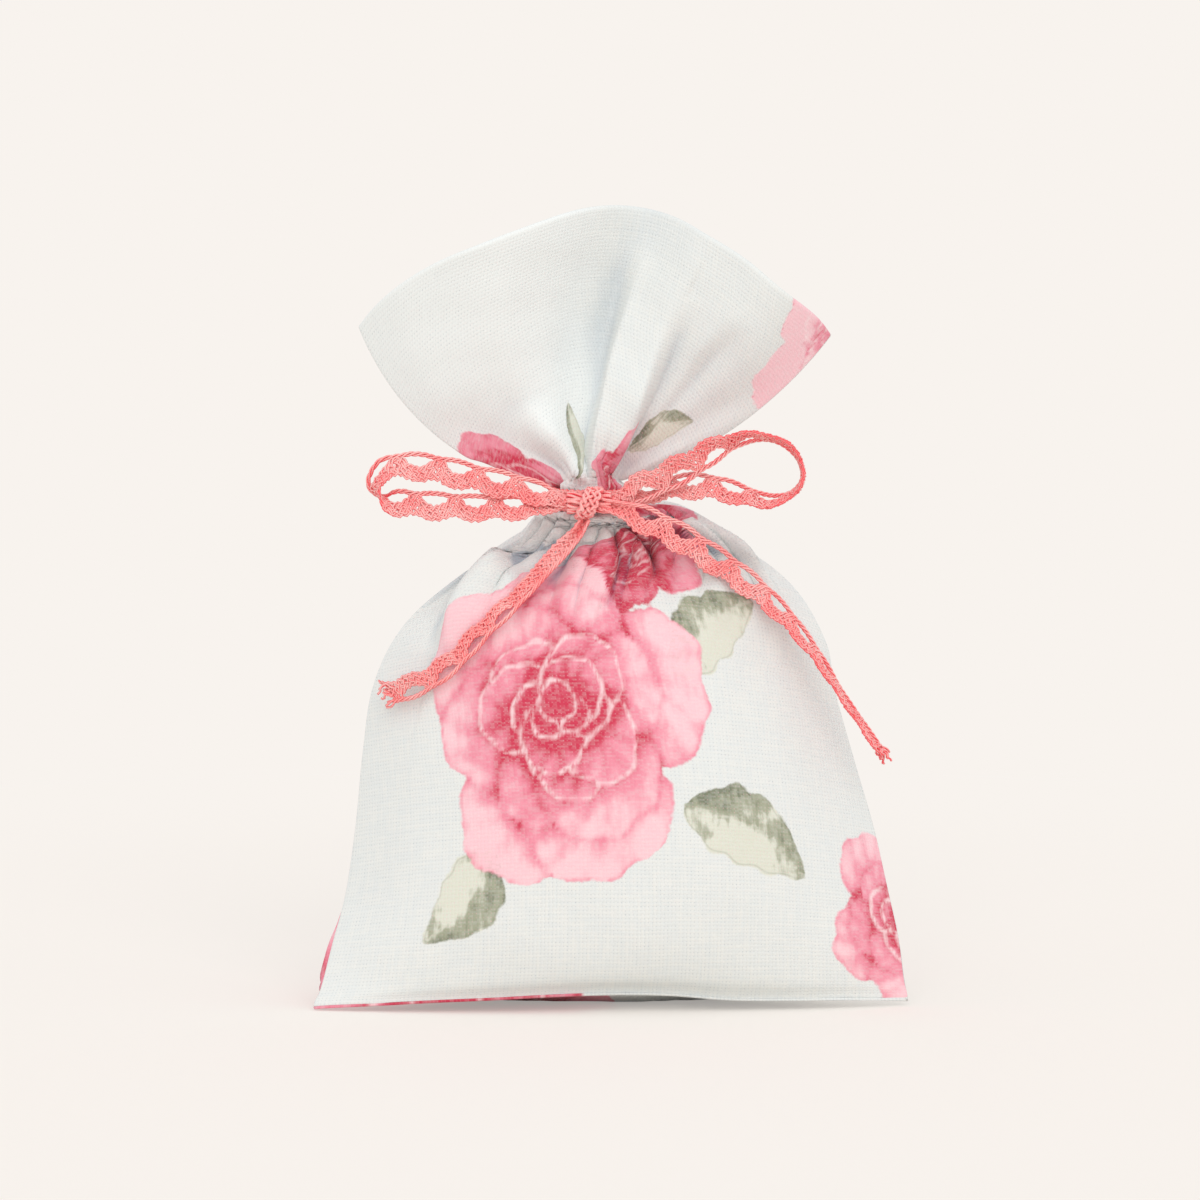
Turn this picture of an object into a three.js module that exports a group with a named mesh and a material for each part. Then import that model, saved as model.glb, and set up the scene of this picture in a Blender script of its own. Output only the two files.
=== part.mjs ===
import * as THREE from 'three';

// Fabric pouch tied at the neck with a lace ribbon. Millimetres, +Z up, front toward -Y, base on Z = 0.

// Cloth, sewing thread and the gap between pieces that touch.
const clothThickness = 0.6;
const facingThickness = 0.5;
const threadThickness = 0.5;
const clearance = 0.3;
const seamSlack = 0.1;

// Filled body, tied neck and flared top.
const bodyWidth = 103;
const bodyDepth = 41.2;
const bodyHeight = 86.6;
const neckLength = 4.4;
const neckRadius = 5.2;
const neckOffset = -3.4;
const flareLength = 49;
const frontLean = 16;
const backLean = 14;
const backEdgeDip = 4;

// Angles of the flare's side seams from +X, and how far each seam sags below them near the neck.
const leftSeamAngle = 145.5;
const rightSeamAngle = 32.5;
const leftSeamSag = 38;
const rightSeamSag = 21;

// Gathers in the cloth.
const pleatCount = 5;
const neckPleatDepth = 0.6;
const shoulderPleatDepth = 1.1;

// Lace ribbon, its wrap round the neck and its knot.
const ribbonWidth = 8;
const ribbonThickness = 0.9;
const ribbonKnotWidth = 4;
const ribbonSpread = 12;
const scallopDepth = 0.9;
const eyeletPitch = 6.6;
const wrapHeight = 4;
const hitchWidth = 4.4;
const hitchBore = 4.4;
const hitchThickness = 1;
const knotLength = 8.4;
const knotEndRadius = 2.3;
const knotSideOffset = -0.5;

// Shares along the cloth: from the bottom seam to the neck for the body, from the neck to the edge above.
const leftSeamShares = [
  [-1, -0.44, 0], [-0.977, -0.36, 0.036], [-0.944, -0.27, 0.115], [-0.899, -0.145, 0.22],
  [-0.866, -0.05, 0.36], [-0.843, 0, 0.5], [-0.806, 0, 0.64], [-0.709, 0, 0.757],
  [-0.524, 0, 0.857], [-0.31, 0, 0.94],
];
const rightSeamShares = [
  [1, -0.44, 0], [0.988, -0.36, 0.045], [0.971, -0.27, 0.127], [0.938, -0.145, 0.22], [0.889, -0.05, 0.35],
  [0.819, 0, 0.495], [0.757, 0, 0.63], [0.722, 0, 0.735], [0.6, 0, 0.852], [0.38, 0, 0.94],
];
const frontMiddleShares = [
  [-0.68, 0.017], [-0.825, 0.068], [-0.947, 0.16], [-1, 0.28], [-0.99, 0.42],
  [-0.913, 0.56], [-0.757, 0.7], [-0.558, 0.822], [-0.39, 0.915], [-0.29, 0.972],
];
const backMiddleShares = [
  [-0.68, 0.017], [-0.34, -0.012], [0.146, -0.03], [0.58, -0.01], [0.95, 0.125],
  [1, 0.34], [0.854, 0.57], [0.63, 0.76], [0.417, 0.895], [0.3, 0.968],
];
const frontLeanShares = [0, 0.5, 0.85, 1, 0.8, 0.35, 0, 0.38, 0.25, 0.5, 0];
const backLeanShares = [0, 0.35, 0.6, 0.8, 0.95, 1, 1, 0.9, 0.7, 0.4, 0];
const seamTurnShare = 0.08;
const roundStartShare = 0.5;
const pleatStartShare = 0.55;
const pleatEndShare = 0.4;
const flareStartShare = 0.2;
const sagStartShare = 0.45;
const lensPower = 2.5;
const leanPower = 1.3;
const pleatWindowPower = 6;

// Grids: cells across a panel, up the body, up the neck and up the flare.
const panelCells = 30;
const bodyCells = 16;
const neckCells = 2;
const flareCells = 10;
const flareSpacingPower = 1.4;
const facingCells = 20;
const threadSides = 5;
const threadStepsPerRow = 2;
const roundSides = 36;
const stationsPerEyelet = 3;

// Derived sizes.
const quarterTurn = Math.PI / 2;
const halfWidth = bodyWidth / 2;
const halfDepth = bodyDepth / 2;
const halfSeamGap = (threadThickness + clothThickness) / 2 + clearance + seamSlack;
const cornerHeight = halfSeamGap + clothThickness / 2;
const neckTop = bodyHeight + neckLength;
const wrapInner = neckRadius + clothThickness / 2 + neckPleatDepth + clearance;
const wrapOuter = wrapInner + ribbonThickness;
const hitchInner = hitchBore / 2;
const hitchOuter = hitchInner + hitchThickness;
const knot = new THREE.Vector3(
  neckOffset + knotSideOffset,
  -(wrapOuter + halfSeamGap + clearance + hitchOuter),
  bodyHeight + neckLength / 2,
);

// Materials.
const cloth = new THREE.MeshStandardMaterial({ color: 0xdfe8ec, roughness: 0.95, metalness: 0 });
const facingCloth = new THREE.MeshStandardMaterial({ color: 0xe9eef0, roughness: 0.95, metalness: 0 });
const thread = new THREE.MeshStandardMaterial({ color: 0xf2f2ee, roughness: 0.8, metalness: 0 });
const stuffing = new THREE.MeshStandardMaterial({ color: 0x8d84a3, roughness: 1, metalness: 0 });
const lace = new THREE.MeshStandardMaterial({ color: 0xee6f70, roughness: 0.85, metalness: 0 });

const { lerp, smoothstep, clamp, degToRad } = THREE.MathUtils;

// Curves of the body: the side seams and the middle line of each panel, from the bottom seam to the neck.
function bodyCurve(rows, end) {
  const points = rows.map(([x, y, z]) => new THREE.Vector3(
    x * halfWidth, y * halfDepth, lerp(cornerHeight, bodyHeight, z),
  ));
  return new THREE.CatmullRomCurve3([...points, end], false, 'catmullrom');
}
const leftSeam = bodyCurve(leftSeamShares, new THREE.Vector3(neckOffset - neckRadius, 0, bodyHeight));
const rightSeam = bodyCurve(rightSeamShares, new THREE.Vector3(neckOffset + neckRadius, 0, bodyHeight));
const middleCurve = (rows, side) => bodyCurve(
  rows.map(([y, z]) => [0, y, z]),
  new THREE.Vector3(0, side * neckRadius, bodyHeight),
);
const middles = { front: middleCurve(frontMiddleShares, -1), back: middleCurve(backMiddleShares, 1) };

// How far each panel's top edge leans from the seam plane, along the edge.
const leanCurve = (shares, lean) => new THREE.SplineCurve(
  shares.map((share, i) => new THREE.Vector2(i, share * lean)),
);
const leans = { front: leanCurve(frontLeanShares, frontLean), back: leanCurve(backLeanShares, backLean) };

// A point of a panel's body: a lens between the side seams that turns round toward the neck.
function bodyPoint(panel, side, across, up) {
  const left = leftSeam.getPoint(up);
  const right = rightSeam.getPoint(up);
  const middle = middles[panel].getPoint(up);
  const roundness = smoothstep(up, roundStartShare, 1);
  const chord = lerp(across, Math.sin(quarterTurn * across), roundness);
  const bulge = lerp(1 - Math.abs(across) ** lensPower, Math.cos(quarterTurn * across), roundness);
  const centre = left.clone().add(right).divideScalar(2);
  middle.setX(centre.x);
  const turn = quarterTurn * smoothstep(up, 0, seamTurnShare);
  const apart = new THREE.Vector3(0, side * Math.sin(turn), -side * Math.cos(turn));
  return centre.clone()
    .addScaledVector(right.sub(centre), chord)
    .addScaledVector(middle.sub(centre), bulge)
    .addScaledVector(apart, halfSeamGap);
}

function neckPoint(side, across, up) {
  return new THREE.Vector3(
    neckOffset + neckRadius * Math.sin(quarterTurn * across),
    side * (neckRadius * Math.cos(quarterTurn * across) + halfSeamGap),
    bodyHeight + neckLength * up,
  );
}

// A point of the flare: a fan round the top of the neck, leaning out from the seam plane.
function flarePoint(panel, side, across, out) {
  const share = (across + 1) / 2;
  const lean = leans[panel].getPoint(share).y;
  const dip = panel === 'back' ? backEdgeDip * (1 - across * across) : 0;
  const reach = (Math.sqrt(flareLength ** 2 - lean ** 2) - dip) * out;
  const open = smoothstep(out, 0, flareStartShare);
  const sag = 1 - Math.max(out, sagStartShare);
  const angle = degToRad(lerp(leftSeamAngle + leftSeamSag * sag, rightSeamAngle - rightSeamSag * sag, share));
  const turn = lerp(quarterTurn, angle, open);
  return new THREE.Vector3(
    neckOffset + neckRadius * Math.sin(quarterTurn * across) * (1 - open) + reach * Math.cos(turn),
    side * (neckRadius * Math.cos(quarterTurn * across) * (1 - open) + halfSeamGap + lean * out ** leanPower),
    neckTop + reach * Math.sin(turn),
  );
}

// A point of a panel: up runs 0 to 1 over the body, 1 to 2 over the neck and 2 to 3 over the flare.
const flareFrom = 2;
const panelTop = 3;
function clothPoint(panel, across, up, pleated = true) {
  const side = panel === 'front' ? -1 : 1;
  let point;
  let pleat = neckPleatDepth;
  if (up <= 1) {
    const gather = smoothstep(up, pleatStartShare, 1);
    point = bodyPoint(panel, side, across, up);
    pleat = neckPleatDepth * gather + shoulderPleatDepth * Math.sin(Math.PI * gather);
  } else if (up <= flareFrom) {
    point = neckPoint(side, across, up - 1);
  } else {
    point = flarePoint(panel, side, across, up - flareFrom);
    pleat = neckPleatDepth * (1 - smoothstep(up - flareFrom, 0, pleatEndShare));
  }
  if (pleated) {
    const wave = pleat * Math.cos(Math.PI * pleatCount * across) * (1 - Math.abs(across) ** pleatWindowPower);
    point.x += wave * Math.sin(quarterTurn * across);
    point.y += wave * side * Math.cos(quarterTurn * across);
  }
  point.z = Math.max(point.z, clothThickness / 2);
  return point;
}

// The cloth's normal, toward the front, from points a small share away on each side.
const stepShare = 0.002;
function clothNormal(panel, across, up, pleated) {
  const at = (u, v) => clothPoint(panel, clamp(u, -1, 1), clamp(v, 0, panelTop), pleated);
  const sideways = at(across + stepShare, up).sub(at(across - stepShare, up));
  const upward = at(across, up + stepShare).sub(at(across, up - stepShare));
  return sideways.cross(upward).normalize();
}

// A grid of points a set distance in front of the cloth's middle surface.
function clothGrid(panel, columns, rows, distance, pleated) {
  return rows.map((up) => columns.map((across) => clothPoint(panel, across, up, pleated)
    .addScaledVector(clothNormal(panel, across, up, pleated), distance)));
}

const steps = (from, to, count) => Array.from({ length: count + 1 }, (_, i) => lerp(from, to, i / count));

// A closed solid between two grids of points, with walls round its border and round its holes.
function solidBetween(front, back, isHole = () => false) {
  const rows = front.length;
  const columns = front[0].length;
  const positions = [...front.flat(), ...back.flat()].flatMap((point) => point.toArray());
  const index = [];
  const at = (layer, row, column) => (layer * rows + row) * columns + column;
  const solid = (row, column) => row >= 0 && column >= 0 && row < rows - 1 && column < columns - 1
    && !isHole(row, column);
  const quad = (a, b, c, d) => index.push(a, b, c, a, c, d);
  const wall = (r0, c0, r1, c1) => quad(at(0, r0, c0), at(1, r0, c0), at(1, r1, c1), at(0, r1, c1));
  for (let row = 0; row < rows - 1; row += 1) {
    for (let column = 0; column < columns - 1; column += 1) {
      if (!solid(row, column)) continue;
      const [up, right] = [row + 1, column + 1];
      quad(at(0, row, column), at(0, row, right), at(0, up, right), at(0, up, column));
      quad(at(1, row, column), at(1, up, column), at(1, up, right), at(1, row, right));
      if (!solid(row - 1, column)) wall(row, column, row, right);
      if (!solid(row + 1, column)) wall(up, right, up, column);
      if (!solid(row, column - 1)) wall(up, column, row, column);
      if (!solid(row, column + 1)) wall(row, right, up, right);
    }
  }
  const geometry = new THREE.BufferGeometry();
  geometry.setAttribute('position', new THREE.Float32BufferAttribute(positions, 3));
  geometry.setIndex(index);
  geometry.computeVertexNormals();
  return geometry;
}

const pouch = new THREE.Group();
function add(name, geometry, material) {
  const mesh = new THREE.Mesh(geometry, material);
  mesh.name = name;
  pouch.add(mesh);
  return mesh;
}

// Panels: each is one piece of cloth from the bottom seam to its top edge.
const panelRows = [
  ...steps(0, 1, bodyCells),
  ...steps(1, flareFrom, neckCells).slice(1),
  ...steps(0, 1, flareCells).slice(1).map((out) => flareFrom + out ** flareSpacingPower),
];
function panelSolid(panel) {
  const columns = steps(-1, 1, panelCells);
  const half = clothThickness / 2;
  const [front, back] = [half, -half].map((distance) => clothGrid(panel, columns, panelRows, distance));
  return solidBetween(front, back);
}
add('front_panel', panelSolid('front'), cloth);
add('back_panel', panelSolid('back'), cloth);

// Facings: the top of each panel turned in and lying behind it, from the top edge nearly down to the neck.
const facingEdgeShare = 0.86;
const facingStartShare = 0.2;
const facingTopShare = 0.985;
const facingSink = clothThickness / 2 + clearance + neckPleatDepth + facingThickness / 2;
function facingSolid(panel) {
  const columns = steps(-facingEdgeShare, facingEdgeShare, facingCells);
  const rows = steps(flareFrom + facingStartShare, flareFrom + facingTopShare, flareCells);
  const sink = panel === 'front' ? -facingSink : facingSink;
  return solidBetween(
    clothGrid(panel, columns, rows, sink + facingThickness / 2, false),
    clothGrid(panel, columns, rows, sink - facingThickness / 2, false),
  );
}
add('front_facing', facingSolid('front'), facingCloth);
add('back_facing', facingSolid('back'), facingCloth);

// Filling: what the body holds, on the panels' own grid, clear of the cloth all round.
const fillingInset = 1;
const fillingFirstRow = 1;
const fillingLastRow = 13;
const fillingGap = clothThickness / 2 + clearance;
const fillingColumns = steps(-1, 1, panelCells).slice(fillingInset, -fillingInset);
const fillingRows = steps(0, 1, bodyCells).slice(fillingFirstRow, fillingLastRow);
add('filling', solidBetween(
  clothGrid('front', fillingColumns, fillingRows, -fillingGap),
  clothGrid('back', fillingColumns, fillingRows, fillingGap),
), stuffing);

// Seam threads: they run between the two panels, along both sides and along the bottom.
const seamInsetShare = 0.995;
const threadStartShare = 0.02;
function threadSolid(points) {
  const section = new THREE.Shape();
  for (let i = 0; i < threadSides; i += 1) {
    const turn = (i / threadSides) * Math.PI * 2;
    const [x, y] = [Math.cos(turn) * threadThickness / 2, Math.sin(turn) * threadThickness / 2];
    if (i === 0) section.moveTo(x, y);
    else section.lineTo(x, y);
  }
  const path = new THREE.CatmullRomCurve3(points);
  return new THREE.ExtrudeGeometry(section, { steps: threadStepsPerRow * points.length, extrudePath: path });
}
const seamPoint = (across, up) => clothPoint('front', across, up, false)
  .add(clothPoint('back', across, up, false)).divideScalar(2);
const sideRows = panelRows.map((up) => clamp(up, threadStartShare, panelTop - threadStartShare));
add('left_seam_thread', threadSolid(sideRows.map((up) => seamPoint(-seamInsetShare, up))), thread);
add('right_seam_thread', threadSolid(sideRows.map((up) => seamPoint(seamInsetShare, up))), thread);
const bottomColumns = steps(-1 + threadStartShare, 1 - threadStartShare, panelCells);
add('bottom_seam_thread', threadSolid(bottomColumns.map((across) => seamPoint(across, 0))), thread);

// Ribbon wrap: an oval band round the neck.
function oval(path, radius) {
  path.absarc(0, halfSeamGap, radius, 0, Math.PI, false);
  path.absarc(0, -halfSeamGap, radius, Math.PI, Math.PI * 2, false);
  path.closePath();
  return path;
}
const band = oval(new THREE.Shape(), wrapOuter);
band.holes.push(oval(new THREE.Path(), wrapInner));
const wrap = add('neck_wrap', new THREE.ExtrudeGeometry(band, {
  depth: wrapHeight, bevelEnabled: false, curveSegments: roundSides / 2,
}), lace);
wrap.position.set(neckOffset, 0, bodyHeight + (neckLength - wrapHeight) / 2);

// Knot: a core that the loops and tails leave, and the hitch that goes round it.
const coreWaist = hitchInner - clearance;
const coreProfile = [
  [0, -knotLength / 2], [coreWaist, -knotLength / 2], [knotEndRadius, -(knotLength + hitchWidth) / 4],
  [coreWaist, -hitchWidth / 2], [coreWaist, hitchWidth / 2], [knotEndRadius, (knotLength + hitchWidth) / 4],
  [coreWaist, knotLength / 2], [0, knotLength / 2],
];
const hitchProfile = [
  [hitchInner, -hitchWidth / 2], [hitchOuter - clearance, -hitchWidth / 2], [hitchOuter, 0],
  [hitchOuter - clearance, hitchWidth / 2], [hitchInner, hitchWidth / 2], [hitchInner, -hitchWidth / 2],
];
function turned(name, profile) {
  const outline = profile.map(([radius, along]) => new THREE.Vector2(radius, along));
  const mesh = add(name, new THREE.LatheGeometry(outline, roundSides), lace);
  mesh.rotation.z = -quarterTurn;
  mesh.position.copy(knot);
}
turned('bow_knot', coreProfile);
turned('bow_hitch', hitchProfile);

// Ribbon routes: points of the centre line, each with the direction from the straight edge to the scallops.
const leftLoopRoute = [
  [-8.8, -12.3, 89.2], [-15, -12.1, 91], [-22, -12.2, 92.6], [-29.6, -12.6, 94.4], [-35.4, -12.8, 95.2],
  [-39.4, -12.8, 94.6], [-41, -12.8, 92], [-39.4, -12.8, 89.4], [-35.4, -12.8, 88.6], [-29.6, -12.8, 88.2],
  [-22, -12.8, 87.9], [-15, -12.3, 88], [-8.8, -11, 88.5],
];
const leftLoopWidths = [
  [0, -0.3, -0.95], [0, -0.6, -0.8], [0, -0.8, -0.6], [0, -0.8, -0.6], [0, -0.8, -0.6],
  [0, -0.8, -0.6], [0, -0.8, -0.6], [0, -0.8, -0.6], [0, -0.8, -0.6], [0, -0.8, -0.6],
  [0, -0.8, -0.6], [0, -0.6, -0.8], [0, -0.3, -0.95],
];
const rightLoopRoute = [
  [1.1, -11.7, 89.6], [5, -12, 91.6], [10.3, -12.6, 94], [15.5, -12.8, 97], [19.9, -12.8, 99.4],
  [25.2, -12.8, 100.5], [29.8, -12.8, 99.4], [32.6, -12.8, 96.4], [33.1, -12.6, 93], [31.4, -12.2, 90.4],
  [27.6, -11.8, 89.1], [23.5, -11.2, 89.7], [19, -10.6, 91], [14, -9.9, 91.5], [7, -9.8, 90.6],
  [1.1, -10, 88.9],
];
const rightLoopWidths = [
  [-0.3, 0, 0.95], [-0.4, -0.1, 0.9], [-0.45, -0.3, 0.85], [-0.45, -0.4, 0.8], [-0.35, -0.65, 0.65],
  [0, -0.9, 0.4], [0.2, -1, 0.2], [0.1, -1, 0.1], [0, -1, 0], [0, -1, -0.2],
  [0, -0.9, -0.4], [0, -0.75, -0.65], [0, -0.6, -0.8], [0, -0.3, -0.95], [0, -0.1, -1], [0, 0, -1],
];
const leftTailRoute = [
  [-5.4, -11.9, 84.9], [-6.3, -11.9, 83.6], [-8.9, -12.2, 81], [-11.8, -12.9, 77.9], [-14.8, -13.8, 74.5],
  [-18.5, -14.3, 70.7], [-22.3, -14, 67.2], [-25.5, -13.6, 63.7], [-29.6, -12.7, 59.9], [-34.5, -10.6, 57],
  [-38.5, -8.2, 55.6],
];
const leftTailWidths = [
  [-1, 0, 0.1], [-0.95, 0, 0.2], [-0.8, 0.2, 0.55], [-0.7, 0.35, 0.6], [-0.65, 0.5, 0.6], [-0.6, 0.55, 0.58],
  [-0.6, 0.55, 0.58], [-0.6, 0.5, 0.6], [-0.5, 0.35, 0.75], [-0.4, 0.1, 0.85], [-0.25, 0, 0.9],
];
const rightTailRoute = [
  [1.1, -13.2, 87.8], [6.8, -14, 85.4], [11.2, -14.2, 83.2], [15.5, -13.8, 80.4], [20, -13.2, 77.4],
  [24.3, -12.4, 74.2], [28.8, -11.8, 70.2], [33.1, -11.3, 65.4], [37, -10.8, 60], [40.2, -10.4, 54.9],
  [44, -10.2, 49.4], [46.6, -10.2, 45.6],
];
const rightTailWidths = [
  [-0.3, 0, -0.95], [-0.45, -0.1, -0.85], [-0.5, -0.15, -0.85], [-0.55, -0.2, -0.8], [-0.6, -0.25, -0.75],
  [-0.6, -0.35, -0.7], [-0.55, -0.6, -0.55], [-0.45, -0.8, -0.4], [-0.3, -0.9, -0.25], [-0.2, -0.95, -0.15],
  [-0.2, -0.95, -0.15], [-0.2, -0.95, -0.15],
];

// A strip of lace: straight edge, row of eyelets, band and scalloped edge, bunched where it leaves the knot.
const laceColumnShares = [0, 0.14, 0.4, 0.7, 1];
const eyeletColumn = 1;
function ribbonSolid(route, widths, isLoop) {
  const vectors = (rows) => rows.map((row) => new THREE.Vector3(...row));
  const path = new THREE.CatmullRomCurve3(vectors(route));
  const widthPath = new THREE.CatmullRomCurve3(vectors(widths));
  const length = path.getLength();
  const count = Math.round((length / eyeletPitch) * stationsPerEyelet);
  const front = [];
  const back = [];
  for (let station = 0; station <= count; station += 1) {
    const share = station / count;
    const along = share * length;
    const place = path.getUtoTmapping(share);
    const tangent = path.getTangent(place);
    const across = widthPath.getPoint(place);
    across.addScaledVector(tangent, -across.dot(tangent)).normalize();
    const normal = across.clone().cross(tangent);
    const fromKnot = isLoop ? Math.min(along, length - along) : along;
    const spread = smoothstep(fromKnot, 0, ribbonSpread);
    const width = lerp(ribbonKnotWidth, ribbonWidth, spread);
    const wave = spread * scallopDepth * (1 - Math.cos((along / eyeletPitch) * Math.PI * 2)) / 2;
    const centre = path.getPoint(place);
    const columns = laceColumnShares.map((column) => centre.clone()
      .addScaledVector(across, (column - 1 / 2) * width - (column === 1 ? wave : 0)));
    front.push(columns.map((point) => point.clone().addScaledVector(normal, ribbonThickness / 2)));
    back.push(columns.map((point) => point.clone().addScaledVector(normal, -ribbonThickness / 2)));
  }
  const bunched = Math.ceil((ribbonSpread / eyeletPitch) * stationsPerEyelet);
  const isEyelet = (row, column) => column === eyeletColumn && row >= bunched
    && row < count - (isLoop ? bunched : 1) && row % stationsPerEyelet !== 0;
  return { solid: solidBetween(front, back, isEyelet), length };
}
const ribbons = {
  left_loop: [leftLoopRoute, leftLoopWidths, true],
  right_loop: [rightLoopRoute, rightLoopWidths, true],
  left_tail: [leftTailRoute, leftTailWidths, false],
  right_tail: [rightTailRoute, rightTailWidths, false],
};
for (const [name, [route, widths, isLoop]] of Object.entries(ribbons)) {
  const { solid, length } = ribbonSolid(route, widths, isLoop);
  add(name, solid, lace);
  console.log(`${name} is ${length.toFixed(1)} mm long`);
}

export default pouch;
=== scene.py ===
import bpy
import math
import numpy as np
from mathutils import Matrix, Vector


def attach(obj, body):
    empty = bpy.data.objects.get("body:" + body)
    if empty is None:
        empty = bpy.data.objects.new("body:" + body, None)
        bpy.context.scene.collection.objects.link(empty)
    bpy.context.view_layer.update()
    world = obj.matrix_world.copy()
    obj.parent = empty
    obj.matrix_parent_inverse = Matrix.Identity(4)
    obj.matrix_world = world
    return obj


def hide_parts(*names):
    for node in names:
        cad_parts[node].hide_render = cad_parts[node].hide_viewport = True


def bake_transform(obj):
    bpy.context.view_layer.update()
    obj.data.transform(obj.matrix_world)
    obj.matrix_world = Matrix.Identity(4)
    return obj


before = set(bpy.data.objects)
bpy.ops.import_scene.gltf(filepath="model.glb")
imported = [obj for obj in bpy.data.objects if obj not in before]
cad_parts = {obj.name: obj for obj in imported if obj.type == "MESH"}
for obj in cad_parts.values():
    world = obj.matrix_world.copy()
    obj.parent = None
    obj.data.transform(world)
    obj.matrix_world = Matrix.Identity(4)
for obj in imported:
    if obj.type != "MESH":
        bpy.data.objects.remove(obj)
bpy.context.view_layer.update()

fullTurn = 2 * math.pi
quarterTurn = math.pi / 2
mm = 0.001

# curves and lengths that the whole pouch uses


def smoothRamp(value, low, high):
    share = np.clip((value - low) / (high - low), 0, 1)
    return share * share * (3 - 2 * share)


def mixed(first, second, share):
    return first + (second - first) * share


def hump(distance, width):
    return np.exp(-((distance / width) ** 2))


def unit(vectors):
    return vectors / np.maximum(np.linalg.norm(vectors, axis=-1, keepdims=True), 1e-12)


def neighbours(rows, place):
    # the four rows round each place, with one more row past each end
    rows = np.array(rows, float)
    rows = np.vstack([2 * rows[0] - rows[1], rows, 2 * rows[-1] - rows[-2]])
    scaled = np.clip(place, 0, 1) * (len(rows) - 3)
    step = np.minimum(scaled.astype(int), len(rows) - 4)
    return rows[step], rows[step + 1], rows[step + 2], rows[step + 3], (scaled - step)[..., None]


def alongTable(rows, place):
    # a smooth curve through evenly spaced rows, at places from 0 to 1
    a, b, c, d, t = neighbours(rows, place)
    return (
        b + (c - a) * t / 2
        + (a - 2.5 * b + 2 * c - d / 2) * t**2
        + (1.5 * (b - c) + (d - a) / 2) * t**3
    )


def alongValues(values, place):
    # the same for single values
    return alongTable([[value] for value in values], place)[..., 0]


def alongRoute(rows, place):
    # the same for a route, with each bend as round as its points are far apart
    a, b, c, d, t = neighbours(rows, place)

    def apart(start, end):
        return np.sqrt(np.maximum(np.linalg.norm(end - start, axis=-1, keepdims=True), 1e-9))

    first, middle, last = apart(a, b), apart(b, c), apart(c, d)
    leaving = ((b - a) / first - (c - a) / (first + middle) + (c - b) / middle) * middle
    arriving = ((c - b) / middle - (d - b) / (middle + last) + (d - c) / last) * middle
    return (
        b + leaving * t
        + (3 * (c - b) - 2 * leaving - arriving) * t**2
        + (2 * (b - c) + leaving + arriving) * t**3
    )


def runAlong(line):
    # how far along a line each of its points is
    return np.concatenate([[0], np.cumsum(np.linalg.norm(np.diff(line, axis=0), axis=1))])


def runAcross(grid):
    # the same along each row of a grid of points
    steps = np.linalg.norm(np.diff(grid, axis=1), axis=-1)
    return np.concatenate([np.zeros((len(grid), 1)), np.cumsum(steps, axis=1)], axis=1)


# mesh helpers


def deselectAll():
    bpy.ops.object.select_all(action="DESELECT")


def applyModifiers(piece):
    deselectAll()
    piece.select_set(True)
    bpy.context.view_layer.objects.active = piece
    for modifier in list(piece.modifiers):
        bpy.ops.object.modifier_apply(modifier=modifier.name)


def thicken(piece, thickness):
    solid = piece.modifiers.new("thickness", "SOLIDIFY")
    solid.thickness = thickness
    solid.offset = 0
    applyModifiers(piece)


def newPiece(name, points, faces, faceMaps=None):
    # one mesh piece; faceMaps gives a UV pair for each corner of each face
    mesh = bpy.data.meshes.new(name)
    mesh.from_pydata(np.asarray(points).tolist(), [], faces)
    for mapName, corners in (faceMaps or {}).items():
        mesh.uv_layers.new(name=mapName).data.foreach_set("uv", np.asarray(corners).ravel())
    mesh.polygons.foreach_set("use_smooth", [True] * len(mesh.polygons))
    piece = bpy.data.objects.new(name, mesh)
    bpy.context.scene.collection.objects.link(piece)
    return piece


def addTone(piece, name, values):
    # a value for each point, which a material reads
    attribute = piece.data.attributes.new(name, "FLOAT", "POINT")
    attribute.data.foreach_set("value", values.ravel().astype(np.float32))


def finishPiece(piece, node, material, rides=True):
    # the piece takes the place of its CAD node
    piece.data.materials.append(material)
    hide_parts(node)
    if rides:
        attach(piece, "pouch")


# material helpers


def startMaterial(name, roughness, sheen=0.0):
    material = bpy.data.materials.new(name)
    material.use_nodes = True
    shader = material.node_tree.nodes["Principled BSDF"]
    shader.inputs["Roughness"].default_value = roughness
    shader.inputs["Specular IOR Level"].default_value = 0.3
    shader.inputs["Sheen Weight"].default_value = sheen
    shader.inputs["Sheen Roughness"].default_value = 0.5
    return material, material.node_tree, shader


def feed(tree, socket, value):
    # a link where the value is another node's socket, and otherwise the plain value
    if isinstance(value, bpy.types.NodeSocket):
        tree.links.new(value, socket)
    else:
        socket.default_value = value


def addNode(tree, kind, given=(), **settings):
    # a new shader node with its settings; what is given goes into its sockets, by name or number
    node = tree.nodes.new("ShaderNode" + kind)
    for name, value in settings.items():
        setattr(node, name, value)
    for name, value in dict(given).items():
        feed(tree, node.inputs[name], value)
    return node.outputs


def sums(tree, operation, *values):
    return addNode(tree, "Math", enumerate(values), operation=operation)[0]


def times(tree, first, second):
    return sums(tree, "MULTIPLY", first, second)


def plus(tree, first, second):
    return sums(tree, "ADD", first, second)


def minus(tree, first, second):
    return sums(tree, "SUBTRACT", first, second)


def stepBetween(tree, value, low, high):
    given = {"Value": value, "From Min": low, "From Max": high}
    return addNode(tree, "MapRange", given, interpolation_type="SMOOTHSTEP")[0]


def colourOf(*screen):
    # a screen colour from 0 to 255 as the plain light value that Blender takes
    shares = [value / 255 for value in screen]
    return tuple(c / 12.92 if c <= 0.04 else ((c + 0.055) / 1.055) ** 2.4 for c in shares) + (1,)


def coloursOf(table):
    return {name: colourOf(*values) for name, values in table.items()}


def blendColours(tree, share, first, second, way="MIX"):
    given = {"Factor": share, "A": first, "B": second}
    return addNode(tree, "Mix", given, data_type="RGBA", blend_type=way)["Result"]


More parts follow.
